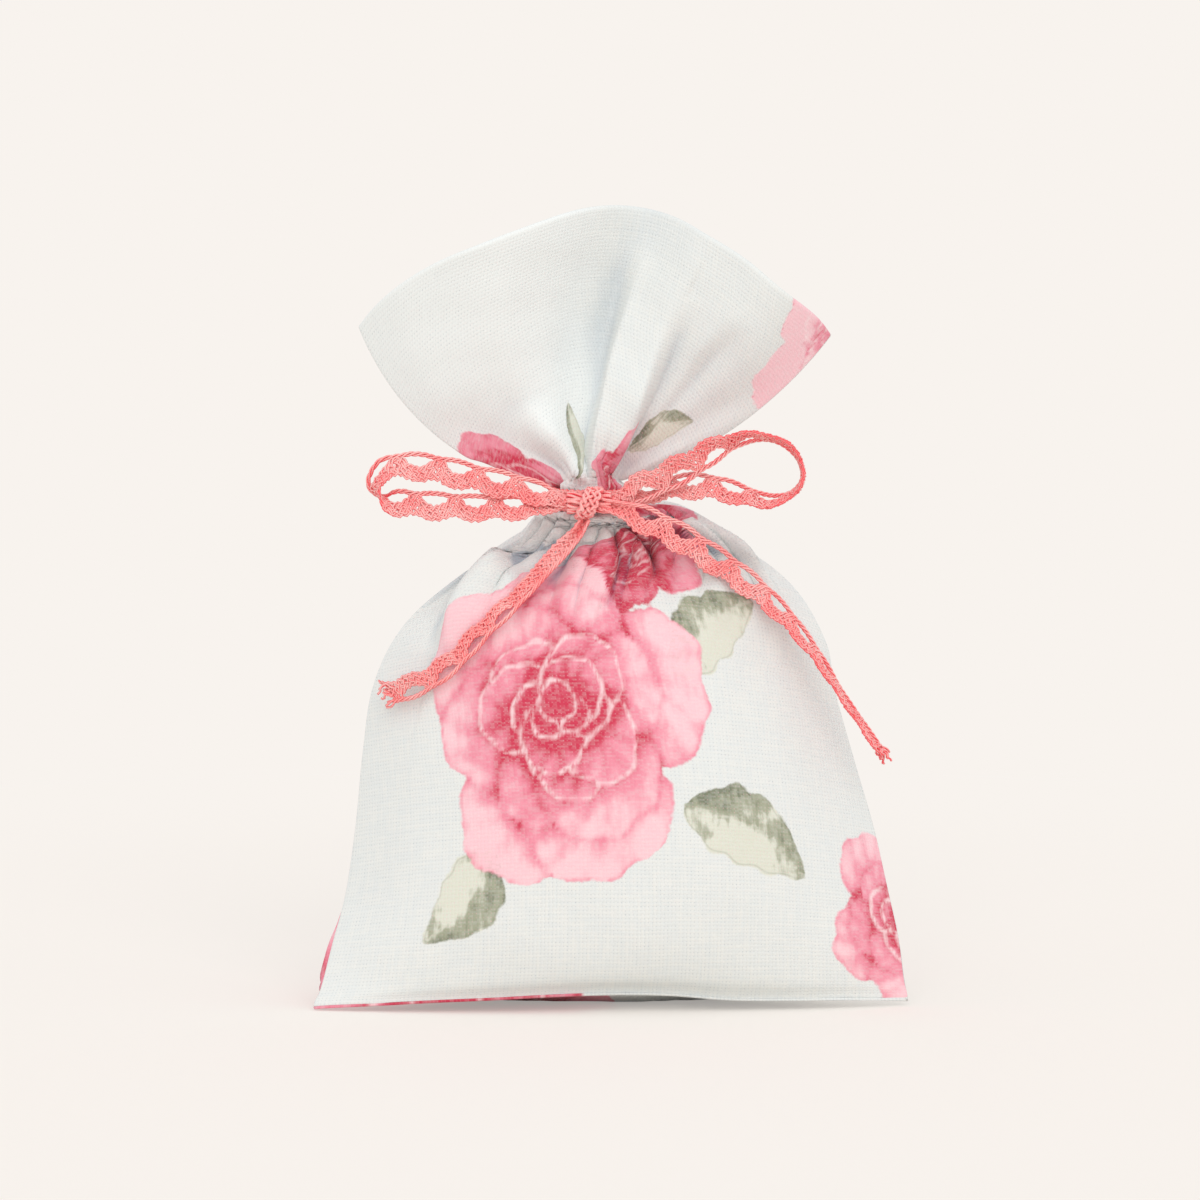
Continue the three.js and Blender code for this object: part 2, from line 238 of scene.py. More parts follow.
def noiseOf(tree, vector, scale, detail):
    return addNode(tree, "TexNoise", {"Vector": vector, "Scale": scale, "Detail": detail})[0]


def readTone(tree, name):
    return addNode(tree, "Attribute", attribute_name=name)["Fac"]


def mapOf(tree, name):
    return addNode(tree, "UVMap", uv_map=name)[0]


def objectPlace(tree):
    return addNode(tree, "TexCoord")["Object"]


def splitOf(tree, vector):
    return addNode(tree, "SeparateXYZ", {0: vector})


def stretched(tree, vector, scale):
    return addNode(tree, "Mapping", {"Vector": vector, "Scale": scale})[0]


def bumpOf(tree, shader, height, distance, strength=1.0):
    given = {"Height": height, "Distance": distance, "Strength": strength}
    feed(tree, shader.inputs["Normal"], addNode(tree, "Bump", given)[0])


def yarnTwist(tree, slope):
    # the fibres that wind round a yarn, from -1 to 1
    yarn = splitOf(tree, mapOf(tree, "yarn"))
    return sums(tree, "SINE", plus(tree, times(tree, yarn[0], slope), times(tree, yarn[1], 2 * fullTurn)))


# camera

cameraSettings = {
    "tilt": 5.0,
    "distance": 1.2,
    "lookAt": (-0.0020, 0, 0.0709),
    "viewWidth": 0.2105,
    "sensor": 36,
}


def setCamera():
    s = cameraSettings
    tilt = math.radians(s["tilt"])
    place = Vector(s["lookAt"]) + Vector((0, -math.cos(tilt), math.sin(tilt))) * s["distance"]
    deselectAll()
    bpy.ops.object.camera_add(location=place, rotation=(quarterTurn - tilt, 0, 0))
    camera = bpy.context.object
    camera.data.sensor_width = s["sensor"]
    camera.data.lens = s["sensor"] * s["distance"] / s["viewWidth"]
    bpy.context.scene.camera = camera


setCamera()
print("camera set")

# lace ribbon: routes in millimetres, each with the way of the ribbon's width at every point

laceSettings = {
    "width": 0.0056,
    "roundWidth": 0.0057,
    "knotShare": 0.62,
    "spreadOver": (0.001, 0.008),
    "openOver": (0.002, 0.008),
    "eyeletPitch": 0.0070,
    "eyeletStart": 0.35,
    "eyeletBar": 0.14,
    "eyeletDepth": 0.0018,
    "eyeletRoundness": 0.6,
    "edgeWidth": 0.0009,
    "edgeMiddle": 0.45,
    "edgeTurn": 0.0034,
    "edgeRadius": 0.00028,
    "edgePull": 0.0003,
    "edgeLift": 0.00024,
    "scallop": 0.0008,
    "strands": 5,
    "braidPeriod": 0.0056,
    "braidFrom": 0.85,
    "braidSharpness": 0.97,
    "braidFade": 0.8,
    "yarnRadius": 0.00021,
    "pairRadius": 0.00021,
    "pairDepth": 0.7,
    "tightYarn": 1.35,
    "plyTurn": 0.0022,
    "lift": 0.00022,
    "gather": 0.0007,
    "gatherWaves": 3,
    "gatherShift": 0.8,
    "cutEnds": (0.4, 2.6),
    "frayAcross": (-0.35, 0.35),
    "frayOff": (-0.35, 0.3),
    "step": 0.00028,
    "sides": 6,
    "bendAt": 0.009,
    "routeSteps": 900,
    "pathPoints": 90,
    "seed": 4,
}
laceRoutes = {
    "left_loop": {
        "body": "bow_left", "ends": "loop", "length": 0.0745,
        "shares": [0.7, 0.85, 1, 1, 1.05, 1, 1, 1.05, 1, 0.95, 0.9, 0.75, 0.65],
        "route": [
            (-5.4, -12.3, 88.6), (-8.8, -12.3, 89.2), (-15, -12.1, 91), (-22, -12.2, 92.6),
            (-29.6, -12.6, 94.4), (-35.4, -12.8, 95.2), (-39.4, -12.8, 94.6), (-41, -12.8, 92),
            (-39.4, -12.8, 89.4), (-35.4, -12.8, 88.6), (-29.6, -12.8, 88.2), (-22, -12.8, 87.9),
            (-15, -12.3, 88), (-8.8, -11, 88.5), (-5.4, -11.2, 88.8),
        ],
        "widths": [
            (0, -0.3, -0.95), (0, -0.3, -0.95), (0, -0.35, -0.93), (0, -0.35, -0.93), (0, -0.35, -0.93),
            (0.1, -0.4, -0.9), (0.3, -0.7, -0.7), (0.55, -0.85, -0.2), (0.3, -0.7, -0.5), (0, -0.4, -0.9),
            (0, -0.35, -0.93), (0, -0.35, -0.93), (0, -0.35, -0.93), (0, -0.3, -0.95), (0, -0.3, -0.95),
        ],
    },
    "right_loop": {
        "body": "bow_right", "ends": "loop", "length": 0.0795,
        "shares": [0.75, 0.95, 1.1, 1.1, 1.0, 0.85, 0.75, 0.75, 0.8, 0.95, 1, 0.95, 0.8, 0.7, 0.6],
        "route": [
            (-2.3, -11.7, 88.7), (1.1, -11.7, 89.6), (5, -12, 91.6), (10.3, -12.6, 94), (15.5, -12.8, 97),
            (19.9, -12.8, 99.4), (25.2, -12.8, 100.5), (29.8, -12.8, 99.4), (32.6, -12.8, 96.4),
            (33.1, -12.6, 93), (31.4, -12.2, 90.4), (27.6, -11.8, 89.1), (23.5, -11.2, 89.7),
            (19, -10.6, 91), (14, -9.9, 91.5), (7, -9.8, 90.6), (1.1, -10, 88.9), (-2.3, -10.8, 88.6),
        ],
        "widths": [
            (-0.3, 0, 0.95), (-0.3, 0, 0.95), (-0.4, -0.1, 0.9), (-0.45, -0.3, 0.85), (-0.45, -0.4, 0.8),
            (-0.35, -0.65, 0.65), (0, -0.9, 0.4), (0.2, -1, 0.2), (0.1, -1, 0.1), (0, -1, 0),
            (0, -1, -0.2), (0, -0.9, -0.4), (0, -0.75, -0.65), (0, -0.6, -0.8), (0, -0.3, -0.95),
            (0, -0.1, -1), (0, 0, -1), (0, 0, -1),
        ],
    },
    "left_tail": {
        "body": "tail_left", "ends": "tail", "length": 0.0480,
        "shares": [0.7, 0.75, 0.72, 0.7, 0.7, 0.74, 0.78, 0.8, 0.82, 0.85, 0.9],
        "plainTo": 0.013,
        "route": [
            (-4.7, -11.6, 86.2), (-5.4, -11.9, 84.9), (-6.3, -11.9, 83.6), (-8.9, -12.2, 81),
            (-11.8, -12.9, 77.9), (-14.8, -13.8, 74.5), (-18.5, -14.3, 70.7), (-22.3, -14, 67.2),
            (-25.5, -13.6, 63.7), (-29.6, -12.7, 59.9), (-34.5, -10.6, 57), (-38.5, -8.2, 55.6),
        ],
        "widths": [
            (-1, 0, 0.1), (-1, 0, 0.1), (-0.95, 0, 0.2), (-0.8, 0.2, 0.55), (-0.7, 0.35, 0.6),
            (-0.65, 0.5, 0.6), (-0.6, 0.55, 0.58), (-0.6, 0.55, 0.58), (-0.6, 0.5, 0.6),
            (-0.5, 0.35, 0.75), (-0.4, 0.1, 0.85), (-0.25, 0, 0.9),
        ],
    },
    "right_tail": {
        "body": "tail_right", "ends": "tail", "length": 0.0668,
        "shares": [0.8, 0.95, 1, 1, 0.95, 0.85, 0.8, 0.75, 0.75, 0.75, 0.8],
        "route": [
            (-2, -12.6, 88.6), (1.1, -13.2, 87.8), (6.8, -14, 85.4), (11.2, -14.2, 83.2),
            (15.5, -13.8, 80.4), (20, -13.2, 77.4), (24.3, -12.4, 74.2), (28.8, -11.8, 70.2),
            (33.1, -11.3, 65.4), (37, -10.8, 60), (40.2, -10.4, 54.9), (44, -10.2, 49.4),
            (46.6, -10.2, 45.6),
        ],
        "widths": [
            (-0.3, 0, -0.95), (-0.3, 0, -0.95), (-0.45, -0.1, -0.85), (-0.5, -0.15, -0.85),
            (-0.55, -0.2, -0.8), (-0.6, -0.25, -0.75), (-0.6, -0.35, -0.7), (-0.55, -0.6, -0.55),
            (-0.45, -0.8, -0.4), (-0.3, -0.9, -0.25), (-0.2, -0.95, -0.15), (-0.2, -0.95, -0.15),
            (-0.2, -0.95, -0.15),
        ],
    },
}


def layStrip(route, widths, ends, shares=(1, 1), plainTo=0):
    # the ribbon's middle line, the directions across it and off its face, how wide it is there, and how open
    # its eyelets are
    s = laceSettings
    place = np.linspace(0, 1, s["routeSteps"])
    centre = alongRoute(np.array(route) * mm, place)
    along = runAlong(centre)
    length = along[-1]
    tangent = unit(np.gradient(centre, along, axis=0))
    sideways = alongRoute(widths, place)
    sideways = unit(sideways - tangent * np.sum(sideways * tangent, axis=1, keepdims=True))
    fromKnot = np.minimum(along, length - along) if ends == "loop" else along
    spread = smoothRamp(fromKnot, *s["spreadOver"])
    opening = smoothRamp(fromKnot, *s["openOver"])
    if plainTo:
        opening = smoothRamp(along, plainTo, plainTo + s["openOver"][1])
    return {
        "along": along, "length": length, "ends": ends,
        "centre": centre, "tangent": tangent, "sideways": sideways, "face": np.cross(sideways, tangent),
        "share": alongValues(shares, along / length) * mixed(s["knotShare"], 1, spread),
        "spread": spread, "open": opening,
    }


def onStrip(strip, key, place):
    rows = strip[key]
    if rows.ndim == 1:
        return np.interp(place, strip["along"], rows)
    return np.stack([np.interp(place, strip["along"], rows[:, i]) for i in range(3)], axis=-1)


def lacePoints(strip, along, across, lift):
    # points of the lace: along the ribbon, across it from the straight edge, and off its face
    s = laceSettings
    place = np.clip(along, 0, strip["length"])
    share = onStrip(strip, "share", place)
    loose = 1 - onStrip(strip, "spread", place)
    gather = s["gather"] * loose * np.sin(s["gatherWaves"] * math.pi * across / s["width"] + s["gatherShift"])
    point = onStrip(strip, "centre", place) + onStrip(strip, "tangent", place) * (along - place)[..., None]
    point = point + onStrip(strip, "sideways", place) * ((across - s["width"] / 2) * share)[..., None]
    return point + onStrip(strip, "face", place) * (lift + gather)[..., None]


def eyeletOpening(strip, along):
    # 0 at the bars between eyelets, 1 in the middle of each eyelet
    s = laceSettings
    turn = (along / s["eyeletPitch"] + s["eyeletStart"]) % 1
    within = np.clip((turn - s["eyeletBar"]) / (1 - 2 * s["eyeletBar"]), 0, 1)
    opened = onStrip(strip, "open", np.clip(along, 0, strip["length"]))
    return np.sin(math.pi * within) ** s["eyeletRoundness"] * opened


def braidLane(along, period, strand, strands, lift):
    # where a strand of a flat braid runs: its share of the width, and how far over or under the others
    sharp, fadeOver = laceSettings["braidSharpness"], laceSettings["braidFade"]
    turn = fullTurn * (along / period + strand / strands)
    zigzag = 0.5 - np.arcsin(sharp * np.cos(turn)) / (2 * math.asin(sharp))
    cell = zigzag * strands
    fade = np.clip(np.minimum(cell, strands - cell) / fadeOver, 0, 1)
    return zigzag, lift * np.sign(np.sin(turn)) * np.cos(math.pi * cell) * fade


def laceYarns(strip):
    # a flat braid of paired yarns beside a twisted edge, with an eyelet in each repeat and frayed ends
    s = laceSettings
    random = np.random.default_rng(s["seed"])
    yarns = []

    def startYarn():
        past = random.uniform(*s["cutEnds"]) * mm if strip["ends"] == "tail" else 0
        return np.arange(0, strip["length"] + past, s["step"])

    def addYarn(along, across, lift, beside=0, slope=0):
        frayed = np.maximum(along - strip["length"] + mm, 0) / mm
        across = across + frayed * random.uniform(*s["frayAcross"]) * mm
        lift = lift + frayed * random.uniform(*s["frayOff"]) * mm
        lean = np.sqrt(1 + slope**2)
        along = along - beside * slope / lean
        points = lacePoints(strip, along, across + beside / lean, lift)
        face = onStrip(strip, "face", np.clip(along, 0, strip["length"]))
        yarns.append((points, face, s["yarnRadius"]))

    for strand in range(s["strands"]):
        for ply in range(2):
            along = startYarn()
            zigzag, lift = braidLane(along, s["braidPeriod"], strand, s["strands"], s["lift"])
            opening = eyeletOpening(strip, along)
            inner = s["edgeWidth"] * s["braidFrom"] + s["eyeletDepth"] * opening + s["yarnRadius"]
            outer = s["width"] - s["scallop"] * (1 - opening) - 2 * s["yarnRadius"]
            across = mixed(inner, outer, zigzag)
            spin = fullTurn * along / s["plyTurn"] + ply * math.pi + strand
            lift = lift + s["pairDepth"] * s["pairRadius"] * np.sin(spin)
            addYarn(along, across, lift, s["pairRadius"] * np.cos(spin), np.gradient(across, along))
    for ply in range(3):
        along = startYarn()
        spin = fullTurn * (along / s["edgeTurn"] + ply / 3)
        across = s["edgeWidth"] * s["edgeMiddle"] + s["edgePull"] * (1 - eyeletOpening(strip, along))
        addYarn(along, across + s["edgeRadius"] * np.cos(spin), s["edgeLift"] * np.sin(spin))
    return yarns


def tubePiece(name, yarns, sides):
    # closed round tubes along lines that have a face direction and a radius, with a map along and round them
    points, faces, corners, raised = [], [], [], []
    first = 0
    turns = (np.arange(sides) * fullTurn / sides)[:, None]
    for line, face, radius in yarns:
        tangent = unit(np.gradient(line, axis=0))
        beside = unit(np.cross(tangent, face))
        above = np.cross(beside, tangent)
        ring = beside[:, None] * np.cos(turns) + above[:, None] * np.sin(turns)
        points.append((line[:, None] + ring * radius).reshape(-1, 3))
        raised.append(np.sum(ring * face[:, None], axis=-1).ravel())
        row, side = np.meshgrid(np.arange(len(line) - 1), np.arange(sides), indexing="ij")
        near, far, nextSide = row * sides + first, (row + 1) * sides + first, (side + 1) % sides
        quads = np.stack([far + side, far + nextSide, near + nextSide, near + side], axis=-1)
        faces.extend(quads.reshape(-1, 4).tolist())
        run = runAlong(line) / mm
        near, far, low, high = run[row], run[row + 1], side / sides, (side + 1) / sides
        pairs = [np.stack(pair, -1) for pair in ((far, low), (far, high), (near, high), (near, low))]
        corners.append(np.stack(pairs, axis=2).reshape(-1, 2))
        last = first + (len(line) - 1) * sides
        faces.append(list(range(first, first + sides)))
        faces.append(list(range(last, last + sides))[::-1])
        corners.append(np.full((2 * sides, 2), run[-1]))
        first += len(line) * sides
    piece = newPiece(name, np.concatenate(points), faces, {"yarn": np.concatenate(corners)})
    # how far each point faces off the ribbon's face; the lace material paints shade where this is low
    addTone(piece, "raised", np.abs(np.concatenate(raised)))
    return piece


laceFinish = {
    "roughness": 0.85,
    "sheen": 0.25,
    "fibreSlope": 14.0,
    "fineScale": (6, 8, 1),
    "dyeScale": 260.0,
    "paintedHighlightShare": 0.16,
    "fuzzShare": 0.35,
    "betweenShare": 0.95,
    "bump": (0.00003, 0.8),
}
laceColours = {
    "dyedDeep": (255, 142, 142),
    "dyedPale": (255, 188, 185),
    "paintedFibreHighlight": (255, 214, 211),
    "fuzz": (255, 188, 181),
    "between": (248, 58, 74),
}


def makeLaceMaterial():
    # coral cotton: fibres that wind round each yarn, uneven dye, painted highlights on the fibre crests, and
    # painted shade low between the yarns
    s, colours = laceFinish, coloursOf(laceColours)
    material, tree, shader = startMaterial("coralCotton", s["roughness"], s["sheen"])
    fibres = yarnTwist(tree, s["fibreSlope"])
    fine = noiseOf(tree, stretched(tree, mapOf(tree, "yarn"), s["fineScale"]), 1.0, 3.0)
    dye = noiseOf(tree, objectPlace(tree), s["dyeScale"], 2.0)
    base = blendColours(tree, stepBetween(tree, dye, 0.3, 0.7), colours["dyedDeep"], colours["dyedPale"])
    # painted highlight: the fibre crests, where the bump rises, are painted lighter
    light = times(tree, plus(tree, fibres, 1.0), s["paintedHighlightShare"])
    base = blendColours(tree, light, base, colours["paintedFibreHighlight"])
    fuzz = times(tree, stepBetween(tree, fine, 0.52, 0.75), s["fuzzShare"])
    base = blendColours(tree, fuzz, base, colours["fuzz"])
    # painted shade: the sides of each yarn, low between its neighbours, are painted a deeper coral
    deep = minus(tree, 1.0, stepBetween(tree, readTone(tree, "raised"), 0.05, 0.85))
    base = blendColours(tree, times(tree, deep, s["betweenShare"]), base, colours["between"])
    feed(tree, shader.inputs["Base Color"], base)
    bumpOf(tree, shader, plus(tree, fibres, times(tree, fine, 2.0)), *s["bump"])
    return material


laceMaterial = makeLaceMaterial()


def makeRibbon(name):
    s, r = laceSettings, laceRoutes[name]
    strip = layStrip(r["route"], r["widths"], r["ends"], r["shares"], r.get("plainTo", 0))
    piece = tubePiece(name + "Lace", laceYarns(strip), s["sides"])
    finishPiece(piece, name, laceMaterial, rides=False)
    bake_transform(piece)
    print(name, "lace is", round(strip["length"] / mm, 1), "mm long, with", len(piece.data.polygons), "faces")


for ribbonName in laceRoutes:
    makeRibbon(ribbonName)

# knot, in millimetres: the strands that loops and tails gather into, the hitch over them, and the wrap round
# the neck, both of the same lace drawn narrow

knotSettings = {
    "centre": (-3.9, -11.75, 88.8),
    "length": 7.6,
    "profile": [1.75, 1.8, 1.6, 1.3, 1.15, 1.3, 1.6, 1.8, 1.75],
    "rings": ((15, 0.86), (9, 0.5)),
    "twist": 0.7,
    "sway": (0.12, 9, 2.3),
    "bulge": (0.09, 5, 1.9),
    "steps": 40,
    "strandRadius": 0.0003,
    "sides": 8,
}
bandSettings = {
    "bowHitchLace": {
        "node": "bow_hitch", "centre": (-3.9, -11.3, 88.8), "reach": (0.9, 2.75, 2.35), "turn": 1.02,
        "points": 40, "across": (1.0, 0, 0.1), "width": 0.0034, "strands": 5, "lift": 0.0003, "sides": 7,
    },
    "neckWrapLace": {
        "node": "neck_wrap", "centre": (-3.4, 0, 88.8), "reach": (6.85, 7.75, 0), "turn": 1.01,
        "points": 60, "across": (0, 0, -1.0), "width": 0.0040, "strands": 7, "lift": 0.00016, "sides": 6,
    },
}


def makeBand(name):
    # a ring of flat braid without eyelets, its ends overlapping at the back
    s, band = laceSettings, bandSettings[name]
    angles = np.linspace(-math.pi, math.pi, band["points"]) * band["turn"]
    waves = np.stack([np.sin(angles), -np.cos(angles), np.sin(angles)], axis=-1)
    route = waves * band["reach"] + band["centre"]
    strip = layStrip(route, np.tile(band["across"], (band["points"], 1)), "band")
    along = np.arange(0, strip["length"], s["step"])
    centre, sideways, face = (onStrip(strip, key, along) for key in ("centre", "sideways", "face"))
    wide = band["width"] - 3 * s["yarnRadius"]
    yarns = []
    for strand in range(band["strands"]):
        for ply in range(2):
            zigzag, rise = braidLane(along, band["width"] * 2, strand, band["strands"], band["lift"])
            spin = fullTurn * along / s["plyTurn"] + ply * math.pi + strand
            across = (zigzag - 0.5) * wide + s["pairDepth"] * s["pairRadius"] * np.cos(spin)
            rise = rise + s["pairDepth"] * s["pairRadius"] * np.sin(spin)
            line = centre + sideways * across[:, None] + face * rise[:, None]
            yarns.append((line, face, s["yarnRadius"] * s["tightYarn"]))
    finishPiece(tubePiece(name, yarns, band["sides"]), band["node"], laceMaterial)


def makeKnotCore():
    # strands in rings, each swaying and bulging in waves of its own
    s = knotSettings
    run = np.linspace(0, 1, s["steps"])
    radius = alongValues(s["profile"], run)
    x, y, z = s["centre"]
    strands = []

    def wave(i, height, often, apart):
        return height * np.sin(often * run + apart * i)

    for ring, (count, share) in enumerate(s["rings"]):
        for i in range(count):
            turn = fullTurn * i / count + s["twist"] * run + ring + wave(i, *s["sway"])
            far = radius * share * (1 + wave(i, *s["bulge"]))
            places = [x + (run - 0.5) * s["length"], y + far * np.cos(turn), z + far * np.sin(turn)]
            outward = np.stack([np.zeros_like(run), np.cos(turn), np.sin(turn)], axis=-1)
            strands.append((np.stack(places, axis=-1) * mm, outward, s["strandRadius"]))
    finishPiece(tubePiece("bowKnotStrands", strands, s["sides"]), "bow_knot", laceMaterial)


for bandName in bandSettings:
    makeBand(bandName)
makeKnotCore()
print("bow made")

# the pouch's own shape, in metres and in shares of its sizes, as the CAD panels have it

pouchShape = {
    "halfWidth": 0.0515,
    "halfDepth": 0.0206,
    "bodyHeight": 0.0866,
    "neckLength": 0.0044,
    "neckRadius": 0.0052,
    "neckOffset": -0.0034,
    "flareLength": 0.049,
    "frontLean": 0.016,
    "backLean": 0.014,
    "backEdgeDip": 0.004,
    "leftSeamAngle": math.radians(145.5),
    "rightSeamAngle": math.radians(32.5),
    "leftSeamSag": math.radians(38),
    "rightSeamSag": math.radians(21),
    "clothThickness": 0.0005,
    "leftPuff": {"out": 0.0030, "width": 0.05, "middle": 0.17, "reach": 0.13},
    "roundOver": (0.5, 1),
    "bellyFlatness": 2.5,
    "bottomTurn": 0.08,
    "openOver": (-0.02, 0.09),
    "narrowOver": (0, 0.55),
    "sagAtNeck": 0.95,
    "sagOver": (0.05, 0.42),
    "sagUntil": 0.45,
    "leanCurve": 1.3,
    "halfSeamGap": 0.00028,
    "floorGap": 0.0003,
    "leftSeam": [
        (-1, -0.56, 0), (-0.977, -0.44, 0.036), (-0.944, -0.31, 0.115), (-0.899, -0.145, 0.22),
        (-0.866, -0.05, 0.36), (-0.843, 0, 0.5), (-0.806, 0, 0.64), (-0.709, 0, 0.757),
        (-0.524, 0, 0.857), (-0.31, 0, 0.94),
    ],
    "rightSeam": [
        (1, -0.30, 0), (0.988, -0.26, 0.045), (0.971, -0.22, 0.127), (0.938, -0.145, 0.22),
        (0.889, -0.05, 0.35), (0.819, 0, 0.495), (0.757, 0, 0.63), (0.722, 0, 0.735), (0.6, 0, 0.852),
        (0.38, 0, 0.94),
    ],
    "frontMiddle": [
        (0, -0.68, 0.013), (0, -0.825, 0.068), (0, -0.947, 0.16), (0, -1, 0.28), (0, -0.99, 0.42),
        (0, -0.913, 0.56), (0, -0.757, 0.7), (0, -0.558, 0.822), (0, -0.39, 0.915), (0, -0.29, 0.972),
    ],
    "backMiddle": [
        (0, -0.68, 0.013), (0, -0.34, 0.007), (0, 0.14, -0.018), (0, 0.58, -0.01), (0, 0.95, 0.125),
        (0, 1, 0.34), (0, 0.854, 0.57), (0, 0.63, 0.76), (0, 0.417, 0.895), (0, 0.3, 0.968),
    ],
    "frontLeans": [0, 0.5, 0.85, 1, 0.85, 0.4, 0.12, 0.62, 0.74, 0.7, 0],
    "backLeans": [0, 0.35, 0.6, 0.8, 0.95, 1, 1, 0.9, 0.7, 0.4, 0],
    "bottomLifts": [0, 0.2, 0.55, 0.85, 1.3, 1.55, 1.35, 0.5, 0.4, 0.6, 0.7],
    "liftReach": 0.09,
}


def clearOfSeams(across, power):
    # 1 in the middle of a panel and 0 at its side seams; a higher power stays near 1 for longer
    return 1 - np.abs(across) ** power


def smoothCloth(panel, across, up):
    # a panel's middle surface without folds: up runs 0 to 1 over the body, 1 to 2 up the neck and 2 to 3 up
    # the flare
    shape = pouchShape
    side = -1 if panel == "front" else 1
    radius, offset, height = shape["neckRadius"], shape["neckOffset"], shape["bodyHeight"]
    gap = shape["halfSeamGap"]
    wide, deep = shape["halfWidth"], shape["halfDepth"]
    corner = shape["floorGap"] + gap + shape["clothThickness"] / 2

    def seam(name, end):
        rows = [(x * wide, y * deep, mixed(corner, height, z)) for x, y, z in shape[name]]
        return alongTable(rows + [end], np.clip(up, 0, 1))

    left = seam("leftSeam", (offset - radius, 0, height))
    right = seam("rightSeam", (offset + radius, 0, height))
    middle = seam(panel + "Middle", (0, side * radius, height))
    centre = (left + right) / 2
    middle[..., 0] = centre[..., 0]
    roundness = smoothRamp(up, *shape["roundOver"])
    chord = mixed(across, np.sin(quarterTurn * across), roundness)[..., None]
    belly = clearOfSeams(across, shape["bellyFlatness"])
    bulge = mixed(belly, np.cos(quarterTurn * across), roundness)[..., None]
    body = centre + (right - centre) * chord + (middle - centre) * bulge
    if panel == "back":
        # the cloth puffs out past the lower left seam
        puff = shape["leftPuff"]
        fromSeam = (1 + across) / puff["width"]
        swell = puff["out"] * fromSeam * np.exp(1 - fromSeam)
        body[..., 0] -= swell * hump(up - puff["middle"], puff["reach"])
    # the bottom seam hangs clear of the floor but for its left corner
    share = (across + 1) / 2
    body[..., 2] += alongValues(shape["bottomLifts"], share) * mm * hump(up, shape["liftReach"])
    turn = quarterTurn * smoothRamp(up, 0, shape["bottomTurn"])
    body[..., 1] += side * np.sin(turn) * gap
    body[..., 2] -= side * np.cos(turn) * gap

    neck = np.stack([
        offset + radius * np.sin(quarterTurn * across),
        side * (radius * np.cos(quarterTurn * across) + gap),
        height + shape["neckLength"] * np.clip(up - 1, 0, 1),
    ], axis=-1)

    out = np.clip(up - 2, 0, 1)
    opened = smoothRamp(out, *shape["openOver"])
    lean = alongValues(shape[panel + "Leans"], share) * shape[panel + "Lean"]
    dip = shape["backEdgeDip"] * clearOfSeams(across, 2) if panel == "back" else 0
    reach = (np.sqrt(shape["flareLength"] ** 2 - lean**2) - dip) * out
    sag = 1 - np.maximum(out, shape["sagUntil"])
    sag = mixed(shape["sagAtNeck"], sag, smoothRamp(out, *shape["sagOver"]))
    leftAngle = shape["leftSeamAngle"] + shape["leftSeamSag"] * sag
    rightAngle = shape["rightSeamAngle"] - shape["rightSeamSag"] * sag
    angle = mixed(quarterTurn, mixed(leftAngle, rightAngle, share), opened)
    ring = radius * (1 - opened)
    narrowing = radius * (1 - smoothRamp(out, *shape["narrowOver"]))
    flare = np.stack([
        offset + ring * np.sin(quarterTurn * across) + reach * np.cos(angle),
        side * (narrowing * np.cos(quarterTurn * across) + gap + lean * out ** shape["leanCurve"]),
        height + shape["neckLength"] + reach * np.sin(angle),
    ], axis=-1)
    return np.where((up <= 1)[..., None], body, np.where((up <= 2)[..., None], neck, flare))


def outwardNormals(panel, points):
    across = np.gradient(points, axis=1)
    upward = np.gradient(points, axis=0)
    normals = unit(np.cross(across, upward))
    return -normals if panel == "back" else normals


# gathers: round ridges between sharp creases, each running down from the neck to its own end
gathers = {
    "front": {
        "edges": [
            -1, -0.84, -0.66, -0.50, -0.36, -0.25, -0.15, -0.06, 0.03, 0.12, 0.22, 0.34, 0.48, 0.64, 0.82, 1,
        ],
        "downTo": [
            0.80, 0.72, 0.66, 0.60, 0.66, 0.57, 0.62, 0.55, 0.64, 0.60, 0.66, 0.60, 0.68, 0.62, 0.80,
        ],
        "upTo": [
            2.15, 2.22, 2.30, 2.20, 2.28, 2.18, 2.25, 2.20, 2.30, 2.18, 2.26, 2.34, 2.20, 2.30, 2.15,
        ],
    },
    "back": {
        "edges": [-1, -0.81, -0.60, -0.45, -0.28, -0.11, 0.04, 0.23, 0.38, 0.58, 0.80, 1],
        "downTo": [0.78, 0.56, 0.74, 0.60, 0.78, 0.54, 0.76, 0.60, 0.78, 0.62, 0.80],
        "upTo": [2.32, 2.46, 2.34, 2.50, 2.36, 2.48, 2.34, 2.50, 2.36, 2.44, 2.28],
    },
    "steepness": 0.80,
    "roundness": 0.7,
    "sunk": 0.63,
    "growOver": 0.3,
    "fadeOver": 0.36,
    "bulge": 0.0010,
    "bulges": ((1, 2.06, 0.05), (2, 0.95, 0.035)),
}
# slow waves that keep the filled cloth from looking turned on a lathe: for each, its share of the height, and
# twice how often it comes across and up, with a shift
swellSettings = {
    "height": 0.00035,
    "growOver": (0.02, 0.2),
    "waves": [
        (1, (5.1, 3.7, 0.6), (-2.2, 7.3, 1.1)),
        (0.6, (11.7, -6.1, 2.0), (4.4, 9.1, 0)),
        (0.35, (19.0, 13.0, 0), (-7.0, 23.0, 0.5)),
    ],
}
